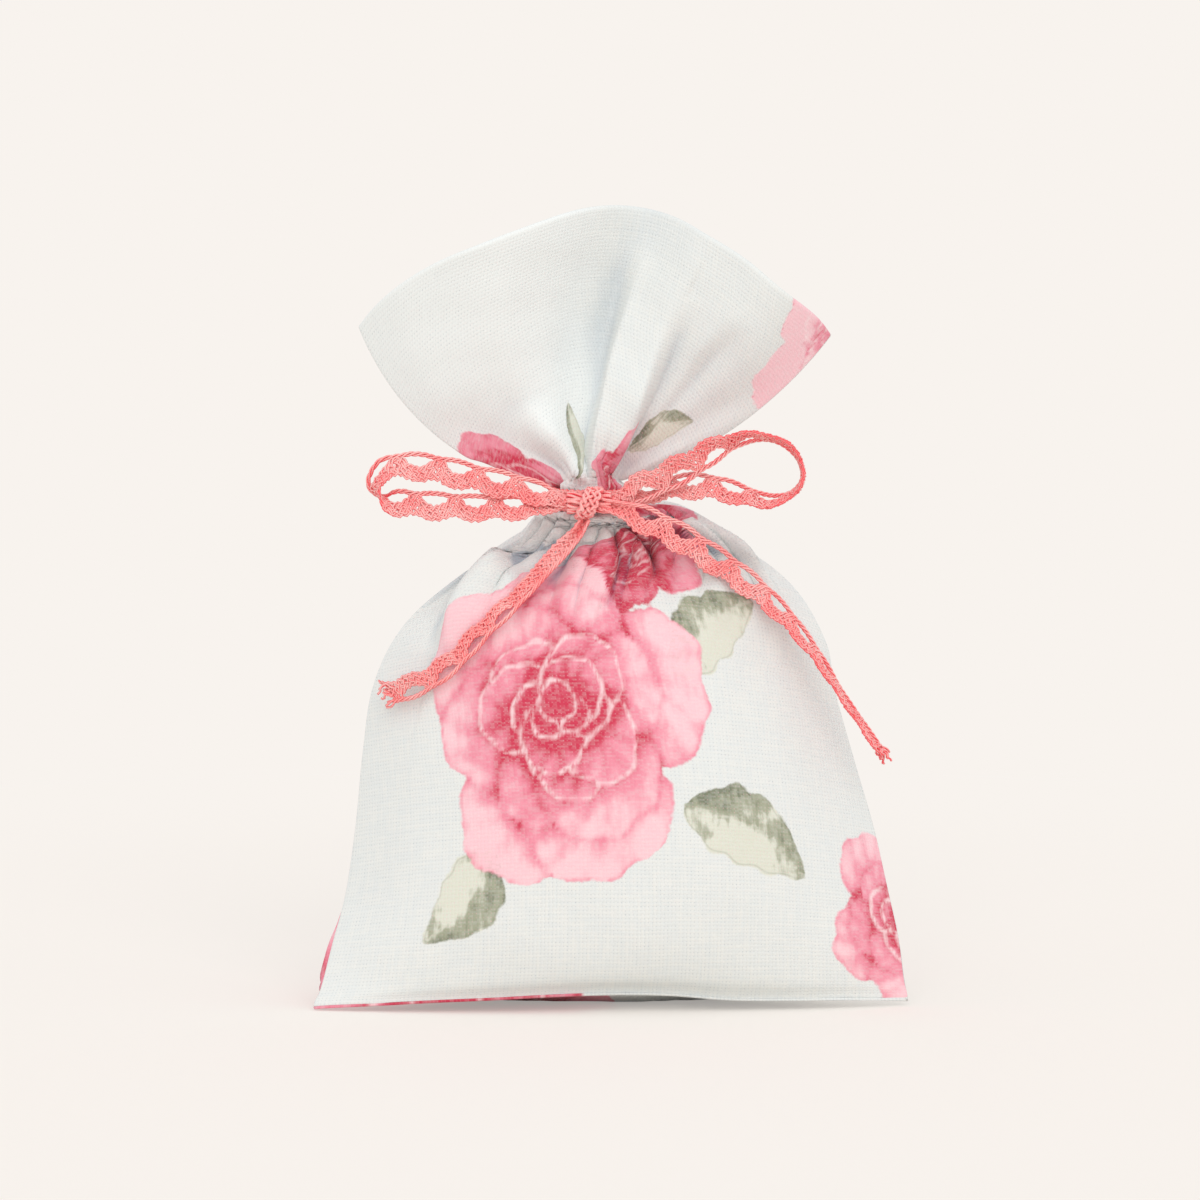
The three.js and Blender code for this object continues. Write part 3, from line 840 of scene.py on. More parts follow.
# single folds over the front: a route in the front view in millimetres, out from the neck; for each side of
# it the height there and how wide it is; how far the higher side leans over the lower; where it has run out;
# and how round its valleys are
frontFolds = [
    {"at": "flare", "left": (-6.8, 7.4), "right": (4.4, 4.6), "over": 1.2, "until": 1.0, "valley": 1.7,
     "route": [(-3.8, 91.6), (-3.2, 97), (-1.4, 105), (0.6, 115), (3.2, 127), (5.2, 138.5)]},
    {"at": "flare", "left": (1.6, 2.6), "right": (-4.2, 6.5), "over": -1.0, "until": 1.1, "valley": 1.6,
     "route": [(-0.8, 91.6), (2.0, 98), (5.6, 107), (9.0, 115.5), (12.8, 124)]},
    {"at": "flare", "left": (4.0, 4.0), "right": (4.0, 2.4), "over": 0, "until": 1.0,
     "route": [(-4.4, 91), (-7.0, 96.5), (-11.5, 101.5), (-18, 106)]},
    {"at": "flare", "left": (-3.4, 2.6), "right": (-3.4, 3.6), "over": 0, "until": 1.0,
     "route": [(-6.0, 91.5), (-13, 95.6), (-21, 99.2), (-31, 103)]},
    {"at": "flare", "left": (1.5, 5.0), "right": (-1.6, 6.5), "over": 0, "until": 1.0, "valley": 1.8,
     "route": [(5, 99), (12, 108), (17.5, 115.5), (24, 122)]},
    {"at": "flare", "left": (-3.0, 3.4), "right": (2.6, 4.0), "over": 0.5, "until": 1.0,
     "route": [(0.5, 91.5), (9, 97), (18, 102), (29, 108)]},
    {"at": "body", "left": (-7.5, 3.8), "right": (4.6, 4.4), "over": 1.4, "until": 1.2,
     "route": [(-17, 80.4), (-21.5, 77.2), (-25.3, 73.3), (-28.6, 68.4), (-30.5, 62)]},
    {"at": "body", "left": (-4.4, 1.6), "right": (-4.4, 1.8), "over": 0, "until": 1.0,
     "route": [(-9, 83.0), (-12.5, 81.2), (-16.5, 79.8), (-22, 78.6)]},
    {"at": "body", "left": (-4.2, 2.0), "right": (-4.2, 1.6), "over": 0, "until": 1.0,
     "route": [(-4.6, 84.5), (-6.4, 81.0), (-9.4, 77.0), (-13, 71)]},
    {"at": "body", "left": (2.8, 2.0), "right": (-4.4, 1.5), "over": -0.8, "until": 1.05,
     "route": [(-1.2, 85), (0.4, 80), (-0.6, 74.5), (-2.8, 66.0)]},
    {"at": "body", "left": (2.6, 1.9), "right": (-4.4, 1.7), "over": -0.8, "until": 1.0,
     "route": [(-0.4, 85.5), (4.4, 81), (6.6, 77.0), (7.6, 72.2)]},
    {"at": "body", "left": (3.0, 3.0), "right": (-4.6, 2.2), "over": -0.9, "until": 1.05,
     "route": [(1.0, 85.6), (9, 81.4), (18.5, 75.6), (28, 69.4), (36, 63.0)]},
    {"at": "body", "left": (-2.4, 2.2), "right": (2.4, 2.6), "over": 0.4, "until": 1.0,
     "route": [(4, 85.6), (16, 82.4), (24, 78.6), (32, 73.5)]},
]
foldSettings = {
    "neckTop": 0.0885,
    "narrowWithin": 0.013,
    "narrow": (0.28, 1.6),
    "steepStep": 0.6,
    "leastStep": 0.0007,
    "widen": 2,
    "routeSteps": 28,
    "crease": 1.25,
    "growFrom": 0.001,
    "growOver": 0.15,
    "fadeFrom": 0.55,
    "leanWidth": 1.8,
    "outward": 0.45,
    "forward": 0.55,
    "tieFrom": (0.94, 0.99),
    "tieTo": (2.0, 2.04),
    "leastRoom": 0.0008,
    "roomShare": 0.9,
}


def nearRoute(points, route):
    # over the front view: the signed distance from a route (positive to its right), the share along it, and
    # the direction across it
    line = alongRoute(np.array(route) * mm, np.linspace(0, 1, foldSettings["routeSteps"]))
    flat = points[..., [0, 2]]
    nearest = np.full(flat.shape[:-1], np.inf)
    signed = np.zeros_like(nearest)
    share = np.zeros_like(nearest)
    beside = np.zeros_like(flat)
    facing = 1 if line[-1, 1] > line[0, 1] else -1
    for i in range(len(line) - 1):
        step = line[i + 1] - line[i]
        t = np.clip(((flat - line[i]) @ step) / (step @ step), 0, 1)
        offset = flat - line[i] - t[..., None] * step
        distance = np.linalg.norm(offset, axis=-1)
        closer = distance < nearest
        right = np.array([step[1], -step[0]]) * facing / np.linalg.norm(step)
        signed = np.where(closer, np.sign(offset @ right) * distance, signed)
        share = np.where(closer, (i + t) / (len(line) - 1), share)
        beside = np.where(closer[..., None], right, beside)
        nearest = np.where(closer, distance, nearest)
    return signed, share, beside


def foldOver(points, normals, fold, allowed):
    # one fold: the two sides of its route at their own heights, with a crisp step between them; it narrows
    # and sinks toward the neck, where all folds meet
    s = foldSettings
    signed, share, beside = nearRoute(points, fold["route"])
    fromNeck = np.hypot(points[..., 0] - pouchShape["neckOffset"], points[..., 2] - s["neckTop"])
    wide = np.clip(fromNeck / s["narrowWithin"], *s["narrow"]) * mm
    high = smoothRamp(fromNeck, s["growFrom"], s["narrowWithin"]) * smoothRamp(share, 0, s["growOver"])
    high = high * allowed * (1 - smoothRamp(share, s["fadeFrom"], fold["until"]))

    def sideHeight(side):
        # ridges are round, and valleys come to a crease
        height, width = fold[side]
        distance = np.abs(signed) / (width * wide)
        return height * np.exp(-(distance ** (2 if height > 0 else fold.get("valley", s["crease"]))))

    step = np.maximum(s["steepStep"] * wide, s["leastStep"]) * (1 + s["widen"] * share**2)
    height = mixed(sideHeight("left"), sideHeight("right"), smoothRamp(signed, -step, step)) * high * mm
    lean = fold["over"] * high * mm * hump(signed - np.sign(fold["over"]) * step, s["leanWidth"] * step)
    direction = unit(normals * s["outward"] + np.array([0, -s["forward"], 0]))
    moved = points + direction * height[..., None]
    moved[..., [0, 2]] -= beside * lean[..., None]
    return moved


def gatherHeights(panel, points, across, up):
    # ridges as high as their width allows
    s, g = gathers, gathers[panel]
    edges = np.array(g["edges"])
    place = np.clip(np.searchsorted(edges, across, side="right") - 1, 0, len(edges) - 2)
    width = edges[place + 1] - edges[place]
    share = (across - edges[place]) / width
    ridge = np.sin(math.pi * np.clip(share, 0, 1)) ** s["roundness"] - s["sunk"]
    rowLength = np.linalg.norm(np.diff(points, axis=1), axis=-1).sum(axis=1)[:, None]

    def blended(values):
        # the ridge's own end, eased toward its neighbours' so that ridges merge
        return np.interp(across, (edges[:-1] + edges[1:]) / 2, values)

    down, top = blended(g["downTo"]), blended(g["upTo"])
    grown = smoothRamp(up, down, down + s["growOver"]) * (1 - smoothRamp(up, top - s["fadeOver"], top))
    return s["steepness"] * ridge * grown * width / 2 * rowLength * clearOfSeams(across, 10)


def unevenness(across, up):
    s = swellSettings

    def wave(overAcross, overUp, shift):
        return np.sin(overAcross * across + overUp * up + shift)

    waves = sum(share * wave(*first) * wave(*second) for share, first, second in s["waves"])
    return s["height"] * waves * clearOfSeams(across, 8) * smoothRamp(up, *s["growOver"])


def evened(points, count):
    # the same surface with fewer points in each row, evenly apart
    even = np.linspace(0, 1, count)
    rows = zip(runAcross(points), points)
    evenRows = [[np.interp(even * run[-1], run, row[:, i]) for i in range(3)] for run, row in rows]
    return np.moveaxis(np.array(evenRows), 1, -1)


def dressCloth(panel, across, up):
    # the panel with its gathers and folds, and its outward normals
    points = smoothCloth(panel, across, up)
    smooth = points.copy()
    normals = outwardNormals(panel, points)
    # the cloth swells just over and under the tie
    bulges = sum(amount * hump(up - place, width) for amount, place, width in gathers["bulges"])
    swell = gathers["bulge"] * bulges * clearOfSeams(across, 8)
    height = gatherHeights(panel, points, across, up) + unevenness(across, up) + swell
    points = points + normals * height[..., None]
    if panel == "front":
        s = foldSettings
        underTie = smoothRamp(up, *s["tieFrom"]) * (1 - smoothRamp(up, *s["tieTo"]))
        clear = clearOfSeams(across, 12) * (1 - underTie)
        for fold in frontFolds:
            side = up > 1.5 if fold["at"] == "flare" else up < 1.5
            points = foldOver(points, normals, fold, clear * side)
        # no fold reaches the back panel
        room = (smoothCloth("back", across, up) - smooth)[..., 1] / 2
        room = np.maximum(room, s["leastRoom"]) * s["roomShare"]
        inward = points[..., 1] - smooth[..., 1]
        points[..., 1] = smooth[..., 1] + np.where(inward > 0, room * (1 - np.exp(-inward / room)), inward)
    points[..., 2] = np.maximum(points[..., 2], pouchShape["floorGap"] + pouchShape["clothThickness"] / 2)
    points = evened(points, (points.shape[1] + 1) // clothGrid["finer"])
    return points, outwardNormals(panel, points)


# the rows and columns of a panel; its folds are worked out on three times as many columns, as "finer" says
clothGrid = {
    "columns": 190,
    "finer": 3,
    "bodyRows": 148,
    "neckRows": 6,
    "flareRows": 68,
    "bodyCloser": 1.2,
    "flareCloser": 1.1,
    "flatHalfWidth": 0.0525,
    "rollRadius": 0.00028,
    "sideRoll": (25, 50, 75),
    "topRoll": (30, 60, 90, 120, 150, 180),
    "hollowReach": 60,
    "hollowMost": 3,
}


def clothLines():
    g = clothGrid
    body = 1 - np.linspace(1, 0, g["bodyRows"], endpoint=False) ** g["bodyCloser"]
    neck = np.linspace(1, 2, g["neckRows"], endpoint=False)
    flare = 2 + np.linspace(0, 1, g["flareRows"]) ** g["flareCloser"]
    return np.meshgrid(np.linspace(-1, 1, g["finer"] * g["columns"] - 1), np.concatenate([body, neck, flare]))


def rolled(edge, inner, toward, degrees):
    # lines of points past an edge that roll round toward the other cloth
    beyond = unit(edge - inner)
    toward = unit(toward - beyond * np.sum(toward * beyond, axis=-1, keepdims=True))
    radius, turns = clothGrid["rollRadius"], [math.radians(t) for t in degrees]
    return [edge + radius * (beyond * math.sin(t) + toward * (1 - math.cos(t))) for t in turns]


def gridFaces(rows, columns, flip, first=0):
    index = np.arange(rows * columns).reshape(rows, columns) + first
    quads = np.stack([index[:-1, :-1], index[:-1, 1:], index[1:, 1:], index[1:, :-1]], axis=-1).reshape(-1, 4)
    return quads[:, ::-1] if flip else quads


def flatMap(points):
    # lengths over the cloth, in metres: across from the middle column, up from the bottom seam, with each row
    # stretched to the flat width and then as it is woven
    rows = np.linalg.norm(np.diff(points, axis=0), axis=-1)
    up = np.concatenate([[0], np.cumsum(rows.mean(axis=1))])
    woven = runAcross(points)
    woven = woven - woven[:, [points.shape[1] // 2]]
    up = np.broadcast_to(up[:, None], woven.shape)
    half = np.abs(woven[:, [0, -1]]).mean(axis=1, keepdims=True)
    return np.stack([woven / half * clothGrid["flatHalfWidth"], up], -1), np.stack([woven, up], -1)


def padded(values):
    # the border values repeated over the rolled lines
    sides, top = len(clothGrid["sideRoll"]), len(clothGrid["topRoll"])
    return np.pad(values, ((sides, top), (sides, sides)) + ((0, 0),) * (values.ndim - 2), mode="edge")


def blurred(points, rounds):
    # each point drawn toward its neighbours along and across the grid
    for _ in range(rounds):
        wide = np.pad(points, ((1, 1), (1, 1), (0, 0)), mode="edge")
        points = (wide[:-2, 1:-1] + wide[2:, 1:-1] + wide[1:-1, :-2] + wide[1:-1, 2:]) / 4
    return points


def makePanel(panel, material):
    g = clothGrid
    points, normals = dressCloth(panel, *clothLines())
    flat, woven = flatMap(points)
    side = -1 if panel == "front" else 1
    towardOther, towardBottom = np.array([0, -side, 0]), np.array([0, 0, side])
    left = rolled(points[:, 0], points[:, 1], towardOther, g["sideRoll"])
    right = rolled(points[:, -1], points[:, -2], towardOther, g["sideRoll"])
    wide = np.concatenate([np.stack(left[::-1], 1), points, np.stack(right, 1)], axis=1)
    bottom = rolled(wide[0], wide[1], towardBottom, g["sideRoll"])
    top = rolled(wide[-1], wide[-2], -padded(normals)[-1], g["topRoll"])
    whole = np.concatenate([np.stack(bottom[::-1]), wide, np.stack(top)])
    quads = gridFaces(*whole.shape[:2], panel == "back")
    maps = {name: padded(values).reshape(-1, 2)[quads] for name, values in (("flat", flat), ("woven", woven))}
    piece = newPiece(panel + "Cloth", whole.reshape(-1, 3), quads.tolist(), maps)
    tones = printTones(panel, flat / mm)
    # how deep each point lies below its smoothed neighbours, which sets the painted shade in the folds
    hollow = np.sum((blurred(points, g["hollowReach"]) - points) * normals, axis=-1) / mm
    tones["hollow"] = np.clip(hollow, 0, g["hollowMost"])
    for name, values in tones.items():
        addTone(piece, name, padded(values))
    thicken(piece, pouchShape["clothThickness"])
    finishPiece(piece, panel + "_panel", material)
    upCloth = round(float(flat[-1, 0, 1] / mm), 1)
    print(panel, "panel:", len(piece.data.polygons), "faces,", upCloth, "mm up the cloth")


# the printed flowers, drawn in flat-cloth millimetres: x from the middle, y up from the bottom seam

bloomSettings = [
    {"panel": "front", "centre": (6, 84), "size": 0.62, "turn": 1.9, "deep": 0.45},
    {"panel": "front", "centre": (-9, 50), "size": 1.0, "turn": 0.3, "deep": 0.0},
    {"panel": "front", "centre": (25, 112), "size": 0.62, "turn": 1.4, "deep": 0.35},
    {"panel": "front", "centre": (56, 16), "size": 0.6, "turn": 2.2, "deep": 0.1},
    {"panel": "front", "centre": (-56, 128), "size": 0.5, "turn": 0.9, "deep": 0.5},
    {"panel": "front", "centre": (54, 168), "size": 0.62, "turn": 0.4, "deep": -0.75},
    {"panel": "back", "centre": (-29, 8), "size": 1.15, "turn": 0.5, "deep": 0.35},
    {"panel": "back", "centre": (12, 58), "size": 1.0, "turn": 1.2, "deep": 0.0},
    {"panel": "back", "centre": (-28, 122), "size": 0.6, "turn": 1.1, "deep": 0.1},
]
leafSettings = [
    {"panel": "front", "base": (14, 57), "turn": 38, "length": 24, "width": 6.5},
    {"panel": "front", "base": (12, 34), "turn": -28, "length": 25, "width": 7},
    {"panel": "front", "base": (-22, 27), "turn": -128, "length": 20, "width": 6},
    {"panel": "front", "base": (-14, 118), "turn": 100, "length": 15, "width": 4.5},
    {"panel": "front", "base": (38, 126), "turn": 60, "length": 14, "width": 4.5},
    {"panel": "back", "base": (30, 40), "turn": -30, "length": 24, "width": 7},
    {"panel": "back", "base": (-14, 76), "turn": 150, "length": 22, "width": 6.5},
    {"panel": "back", "base": (24, 110), "turn": 70, "length": 18, "width": 5},
]
petalRings = [
    {"count": 5, "offset": 16.5, "size": 15.0, "edge": -0.15, "heart": 0.42, "line": 0},
    {"count": 6, "offset": 12.0, "size": 11.0, "edge": 0.02, "heart": 0.70, "line": 0},
    {"count": 5, "offset": 7.8, "size": 8.2, "edge": 0.35, "heart": 0.95, "line": 1},
    {"count": 4, "offset": 4.6, "size": 5.8, "edge": 0.62, "heart": 1.15, "line": 1},
    {"count": 3, "offset": 2.2, "size": 3.6, "edge": 0.80, "heart": 1.2, "line": 1},
]
paintSettings = {
    "far": 30.0,
    "swing": 0.25,
    "ringTurn": 0.9,
    "uneven": 0.13,
    "ruffles": (0.05, 0.03),
    "oval": 0.08,
    "squash": (1.08, 0.9),
    "rimDye": (0.42, 0.6),
    "streaks": 0.12,
    "shade": (0.46, 1.5, 6),
    "halfLine": 0.3,
    "heart": 13,
    "leafBend": 0.10,
    "leafNotch": 0.06,
    "ribPitch": 3.2,
    "ribLean": 0.8,
}


def paintBloom(x, y, bloom, layers):
    # petals laid from the outside in, each over the ones before; the odd factors inside the sines only make
    # each petal a little different
    s, scale = paintSettings, bloom["size"]
    squashOut, squashAside = s["squash"]
    ruffle, finer = s["ruffles"]
    rimDye, rimWidth = s["rimDye"]
    shadeDepth, shadeWidth, shadeReach = s["shade"]
    x, y = (x - bloom["centre"][0]) / scale, (y - bloom["centre"][1]) / scale
    for number, ring in enumerate(petalRings):
        for i in range(ring["count"]):
            turn = fullTurn * (i + s["swing"] * math.sin(2.7 * i + number)) / ring["count"]
            turn = turn + bloom["turn"] + s["ringTurn"] * number
            size = ring["size"] * (1 + s["uneven"] * math.sin(3.1 * i + 1.7 * number))
            px, py = x - ring["offset"] * math.cos(turn), y - ring["offset"] * math.sin(turn)
            radial = px * math.cos(turn) + py * math.sin(turn)
            sideways = -px * math.sin(turn) + py * math.cos(turn)
            angle = np.arctan2(sideways, radial)
            ruffled = 1 + ruffle * np.sin(3 * angle + i) + finer * np.sin(8 * angle + 2.1 * i + number)
            outline = size * ruffled * (1 - s["oval"] + s["oval"] * np.cos(2 * angle))
            distance = (np.hypot(radial * squashOut, sideways * squashAside) - outline) * scale
            depth = np.clip((outline - radial) / (1.7 * size), 0, 1)
            pooled = rimDye * np.exp(-np.abs(distance) / rimWidth) * (1 - ring["line"])
            tone = mixed(ring["edge"], ring["heart"], depth**1.2) + bloom["deep"] + pooled
            tone = tone + s["streaks"] * np.sin(9 * angle + 0.5 * radial) * (1 - depth)
            shade = shadeDepth * np.exp(-np.clip(distance, 0, 40) / (shadeWidth * scale))
            within = distance < 0
            under = layers["bloomTone"] + np.where(distance < shadeReach, shade, 0)
            layers["bloomTone"] = np.where(within, tone, under)
            line = np.abs(distance) - s["halfLine"] if ring["line"] else np.full(x.shape, s["far"])
            layers["petalLine"] = np.where(within, line, np.minimum(layers["petalLine"], line))
            layers["bloomEdge"] = np.minimum(layers["bloomEdge"], distance)
    heart = (np.hypot(x, y) - s["heart"]) * scale
    layers["bloomEdge"] = np.minimum(layers["bloomEdge"], heart)


def paintLeaf(x, y, leaf, layers):
    s, turn = paintSettings, math.radians(leaf["turn"])
    dx, dy = x - leaf["base"][0], y - leaf["base"][1]
    run = (dx * math.cos(turn) + dy * math.sin(turn)) / leaf["length"]
    bend = s["leafBend"] * leaf["length"] * np.sin(math.pi * np.clip(run, 0, 1))
    aside = -dx * math.sin(turn) + dy * math.cos(turn) - bend
    inRun = np.clip(run, 0.001, 0.999)
    notched = 1 + s["leafNotch"] * np.sin(28 * inRun)
    half = leaf["width"] * np.sin(math.pi * inRun**0.8) ** 0.85 * notched
    distance = np.maximum(np.abs(aside) - half, np.maximum(-run, run - 1) * leaf["length"])
    tone = 0.35 + 0.35 * np.tanh(aside / 1.2) + 0.25 * np.sin(7 * inRun + 1.0)
    ribs = (inRun * leaf["length"] - np.abs(aside) * s["ribLean"]) / s["ribPitch"]
    ribs = np.abs(ribs % 1 - 0.5) * s["ribPitch"]
    vein = np.minimum(np.abs(aside) + 0.15, ribs + 0.35 + 0.05 * np.abs(aside))
    closer = distance < layers["leafEdge"]
    layers["leafTone"] = np.where(closer, tone, layers["leafTone"])
    layers["leafVein"] = np.where(closer, vein, layers["leafVein"])
    layers["leafEdge"] = np.minimum(layers["leafEdge"], distance)


def printTones(panel, flat):
    # for each point, how far the edges and lines of the print are, and how deep its dye is
    x, y, far = flat[..., 0], flat[..., 1], paintSettings["far"]
    layers = {name: np.full(x.shape, far) for name in ("bloomEdge", "petalLine", "leafEdge", "leafVein")}
    layers["bloomTone"] = np.zeros(x.shape)
    layers["leafTone"] = np.zeros(x.shape)
    for leaf in leafSettings:
        if leaf["panel"] == panel:
            paintLeaf(x, y, leaf, layers)
    for bloom in bloomSettings:
        if bloom["panel"] == panel:
            paintBloom(x, y, bloom, layers)
    return {name: np.clip(values, -far, far) for name, values in layers.items()}


clothColours = {
    "ground": (232, 234, 232),
    "groundShade": (227, 231, 231),
    "paintedLitCloth": (240, 244, 244),
    # painted shade for the folds, multiplied over the cloth's colour
    "paintedFoldShade": (184, 198, 214),
    "pinhole": (154, 166, 176),
    "inkedPinhole": (240, 192, 198),
    "petalPale": (251, 204, 213),
    "petalPink": (240, 148, 168),
    "petalDeep": (208, 62, 88),
    "petalLine": (253, 226, 230),
    "leafPale": (222, 224, 210),
    "leafGreen": (166, 170, 148),
    "leafDark": (126, 132, 112),
}
clothFinish = {
    "roughness": 0.92,
    "sheen": 0.15,
    "weavePitch": 0.000667,
    "yarnStretch": 0.12,
    "yarnScale": 0.9,
    "yarnSway": 0.3,
    "yarnRound": 0.6,
    "overUnder": 0.45,
    "gapSharpness": 2.2,
    "gapVary": 0.7,
    "gapLeast": 0.25,
    # where the cloth above the tie is painted paler, how much, and how much less toward the right, which is
    # painted shade
    "paleOver": (0.090, 0.125),
    "pale": 0.8,
    "rightOver": (-0.010, 0.004),
    "lessAtRight": 0.65,
    "paintedShadeOver": (0.12, 1.3),
    "paintedShade": 0.8,
    "litOver": (0.118, 0.132),
    "lessWhereLit": 0.5,
    "bump": (0.00010, 0.62),
}
printFinish = {
    "poolScale": 0.075,
    "washScale": 0.26,
    "grainScale": 1.3,
    "brushStretch": (0.9, 0.25, 1),
    "missed": 0.15,
    "wobble": (0.6, 2.2),
    "bloomWash": (1.3, 0.6, 0.4),
    "pinkOver": (-0.1, 0.5),
    "deepOver": (0.42, 1.1),
    "lineWash": 1.0,
    "lineSoft": 0.4,
    "line": 0.85,
    "leafWash": (1.5, 1.2),
    "greenOver": (0.1, 0.55),
    "darkOver": (0.55, 1.0),
    "veinHalf": 0.45,
    "veinSoft": 0.2,
    "vein": 0.6,
    "rimAt": 0.35,
    "rimSoft": 0.4,
    "rim": 0.6,
    "edgeSoft": 0.3,
}


def makeClothMaterial(name, printed):
    # plain weave: warp over weft, small gaps between threads, uneven yarn, the print soaked into it, and on
    # the printed cloth painted light above the tie and painted shade in the folds
    s, colours = clothFinish, coloursOf(clothColours)
    material, tree, shader = startMaterial(name, s["roughness"], s["sheen"])
    woven = stretched(tree, mapOf(tree, "woven"), (1 / s["weavePitch"], 1 / s["weavePitch"], 1))
    warpNoise = noiseOf(tree, stretched(tree, woven, (1.0, s["yarnStretch"], 1)), s["yarnScale"], 1.0)
    weftNoise = noiseOf(tree, stretched(tree, woven, (s["yarnStretch"], 1.0, 1)), s["yarnScale"], 1.0)

    def threadWave(place, noise):
        return sums(tree, "SINE", times(tree, plus(tree, place, times(tree, noise, s["yarnSway"])), math.pi))

    def gapBeside(thread):
        return sums(tree, "POWER", minus(tree, 1.0, thread), s["gapSharpness"])

    place = splitOf(tree, woven)
    a, b = threadWave(place[0], warpNoise), threadWave(place[1], weftNoise)
    warp, weft = sums(tree, "ABSOLUTE", a), sums(tree, "ABSOLUTE", b)
    over = times(tree, times(tree, a, b), s["overUnder"])
    warpHeight = plus(tree, times(tree, warp, s["yarnRound"]), over)
    weftHeight = minus(tree, times(tree, weft, s["yarnRound"]), over)
    uneven = stepBetween(tree, noiseOf(tree, woven, 0.5, 2.0), 0.35, 0.75)
    hole = times(tree, gapBeside(warp), gapBeside(weft))
    hole = times(tree, hole, plus(tree, times(tree, uneven, s["gapVary"]), s["gapLeast"]))
    slub = stepBetween(tree, plus(tree, warpNoise, weftNoise), 0.75, 1.3)
    colour = blendColours(tree, slub, colours["groundShade"], colours["ground"])
    holeColour = colours["pinhole"]
    if printed:
        # painted light: above the tie the cloth is painted paler, as if it had light behind it; toward the
        # right it is painted less pale, which paints shade there
        flat = splitOf(tree, mapOf(tree, "flat"))
        toRight = times(tree, stepBetween(tree, flat[0], *s["rightOver"]), s["lessAtRight"])
        above = times(tree, stepBetween(tree, flat[1], *s["paleOver"]), minus(tree, s["pale"], toRight))
        colour = blendColours(tree, above, colour, colours["paintedLitCloth"])
        colour, inkShare = addPrint(tree, colours, colour, woven)
        holeColour = blendColours(tree, inkShare, colours["pinhole"], colours["inkedPinhole"])
    colour = blendColours(tree, hole, colour, holeColour)
    if printed:
        # painted shade: a soft bluish shade painted deep in the folds, fainter where light comes through the
        # open top
        lit = times(tree, stepBetween(tree, flat[1], *s["litOver"]), s["lessWhereLit"])
        paintedShade = stepBetween(tree, readTone(tree, "hollow"), *s["paintedShadeOver"])
        paintedShade = times(tree, paintedShade, minus(tree, s["paintedShade"], lit))
        colour = blendColours(tree, paintedShade, colour, colours["paintedFoldShade"], "MULTIPLY")
    feed(tree, shader.inputs["Base Color"], colour)
    bumpOf(tree, shader, sums(tree, "MAXIMUM", warpHeight, weftHeight), *s["bump"])
    return material


def addPrint(tree, colours, ground, woven):
    # water colour: uneven edges and washes, broken pale lines between petals, and threads that the dye missed
    s = printFinish
    flat = stretched(tree, mapOf(tree, "flat"), (1000, 1000, 1))

    def centred(noise, amount):
        return times(tree, minus(tree, noise, 0.5), amount)

    def inside(distance, soft):
        return minus(tree, 1.0, stepBetween(tree, distance, -soft, soft))

    pool = noiseOf(tree, flat, s["poolScale"], 2.0)
    wash = noiseOf(tree, flat, s["washScale"], 4.0)
    grain = noiseOf(tree, flat, s["grainScale"], 3.0)
    brush = noiseOf(tree, stretched(tree, flat, s["brushStretch"]), 1.0, 3.0)
    cell = addNode(tree, "VectorMath", {0: stretched(tree, woven, (1, 2, 1))}, operation="FLOOR")[0]
    speck = addNode(tree, "TexWhiteNoise", {"Vector": cell}, noise_dimensions="2D")[0]
    missed = times(tree, stepBetween(tree, speck, 0.3, 1.0), s["missed"])
    wobble = plus(tree, centred(grain, s["wobble"][0]), centred(wash, s["wobble"][1]))

    pools, washes, strokes = s["bloomWash"]
    tone = plus(tree, readTone(tree, "bloomTone"), plus(tree, centred(pool, pools), centred(wash, washes)))
    tone = plus(tree, tone, centred(brush, strokes))
    pink = stepBetween(tree, tone, *s["pinkOver"])
    petal = blendColours(tree, pink, colours["petalPale"], colours["petalPink"])
    petal = blendColours(tree, stepBetween(tree, tone, *s["deepOver"]), petal, colours["petalDeep"])
    line = plus(tree, readTone(tree, "petalLine"), centred(wash, s["lineWash"]))
    line = times(tree, inside(line, s["lineSoft"]), stepBetween(tree, brush, 0.3, 0.5))
    petal = blendColours(tree, times(tree, line, s["line"]), petal, colours["petalLine"])

    washes, strokes = s["leafWash"]
    tone = plus(tree, readTone(tree, "leafTone"), plus(tree, centred(wash, washes), centred(brush, strokes)))
    green = stepBetween(tree, tone, *s["greenOver"])
    leaf = blendColours(tree, green, colours["leafPale"], colours["leafGreen"])
    leaf = blendColours(tree, stepBetween(tree, tone, *s["darkOver"]), leaf, colours["leafDark"])
    vein = inside(minus(tree, readTone(tree, "leafVein"), s["veinHalf"]), s["veinSoft"])
    leaf = blendColours(tree, times(tree, vein, s["vein"]), leaf, colours["leafPale"])
    rim = sums(tree, "ABSOLUTE", plus(tree, readTone(tree, "leafEdge"), s["rimAt"]))
    leaf = blendColours(tree, times(tree, inside(rim, s["rimSoft"]), s["rim"]), leaf, colours["leafDark"])
    dyed = minus(tree, 1.0, missed)

    def printed(edge):
        return times(tree, inside(plus(tree, readTone(tree, edge), wobble), s["edgeSoft"]), dyed)

    leafShare, bloomShare = printed("leafEdge"), printed("bloomEdge")
    colour = blendColours(tree, leafShare, ground, leaf)
    return blendColours(tree, bloomShare, colour, petal), sums(tree, "MAXIMUM", leafShare, bloomShare)


clothMaterial = makeClothMaterial("printedCotton", True)
liningMaterial = makeClothMaterial("cottonReverse", False)


facingSettings = {
    "halfReach": 0.93,
    "columns": 329,
    "rows": 60,
    "from": 2.2,
    "behind": 0.00054,
    "thickness": 0.00045,
}


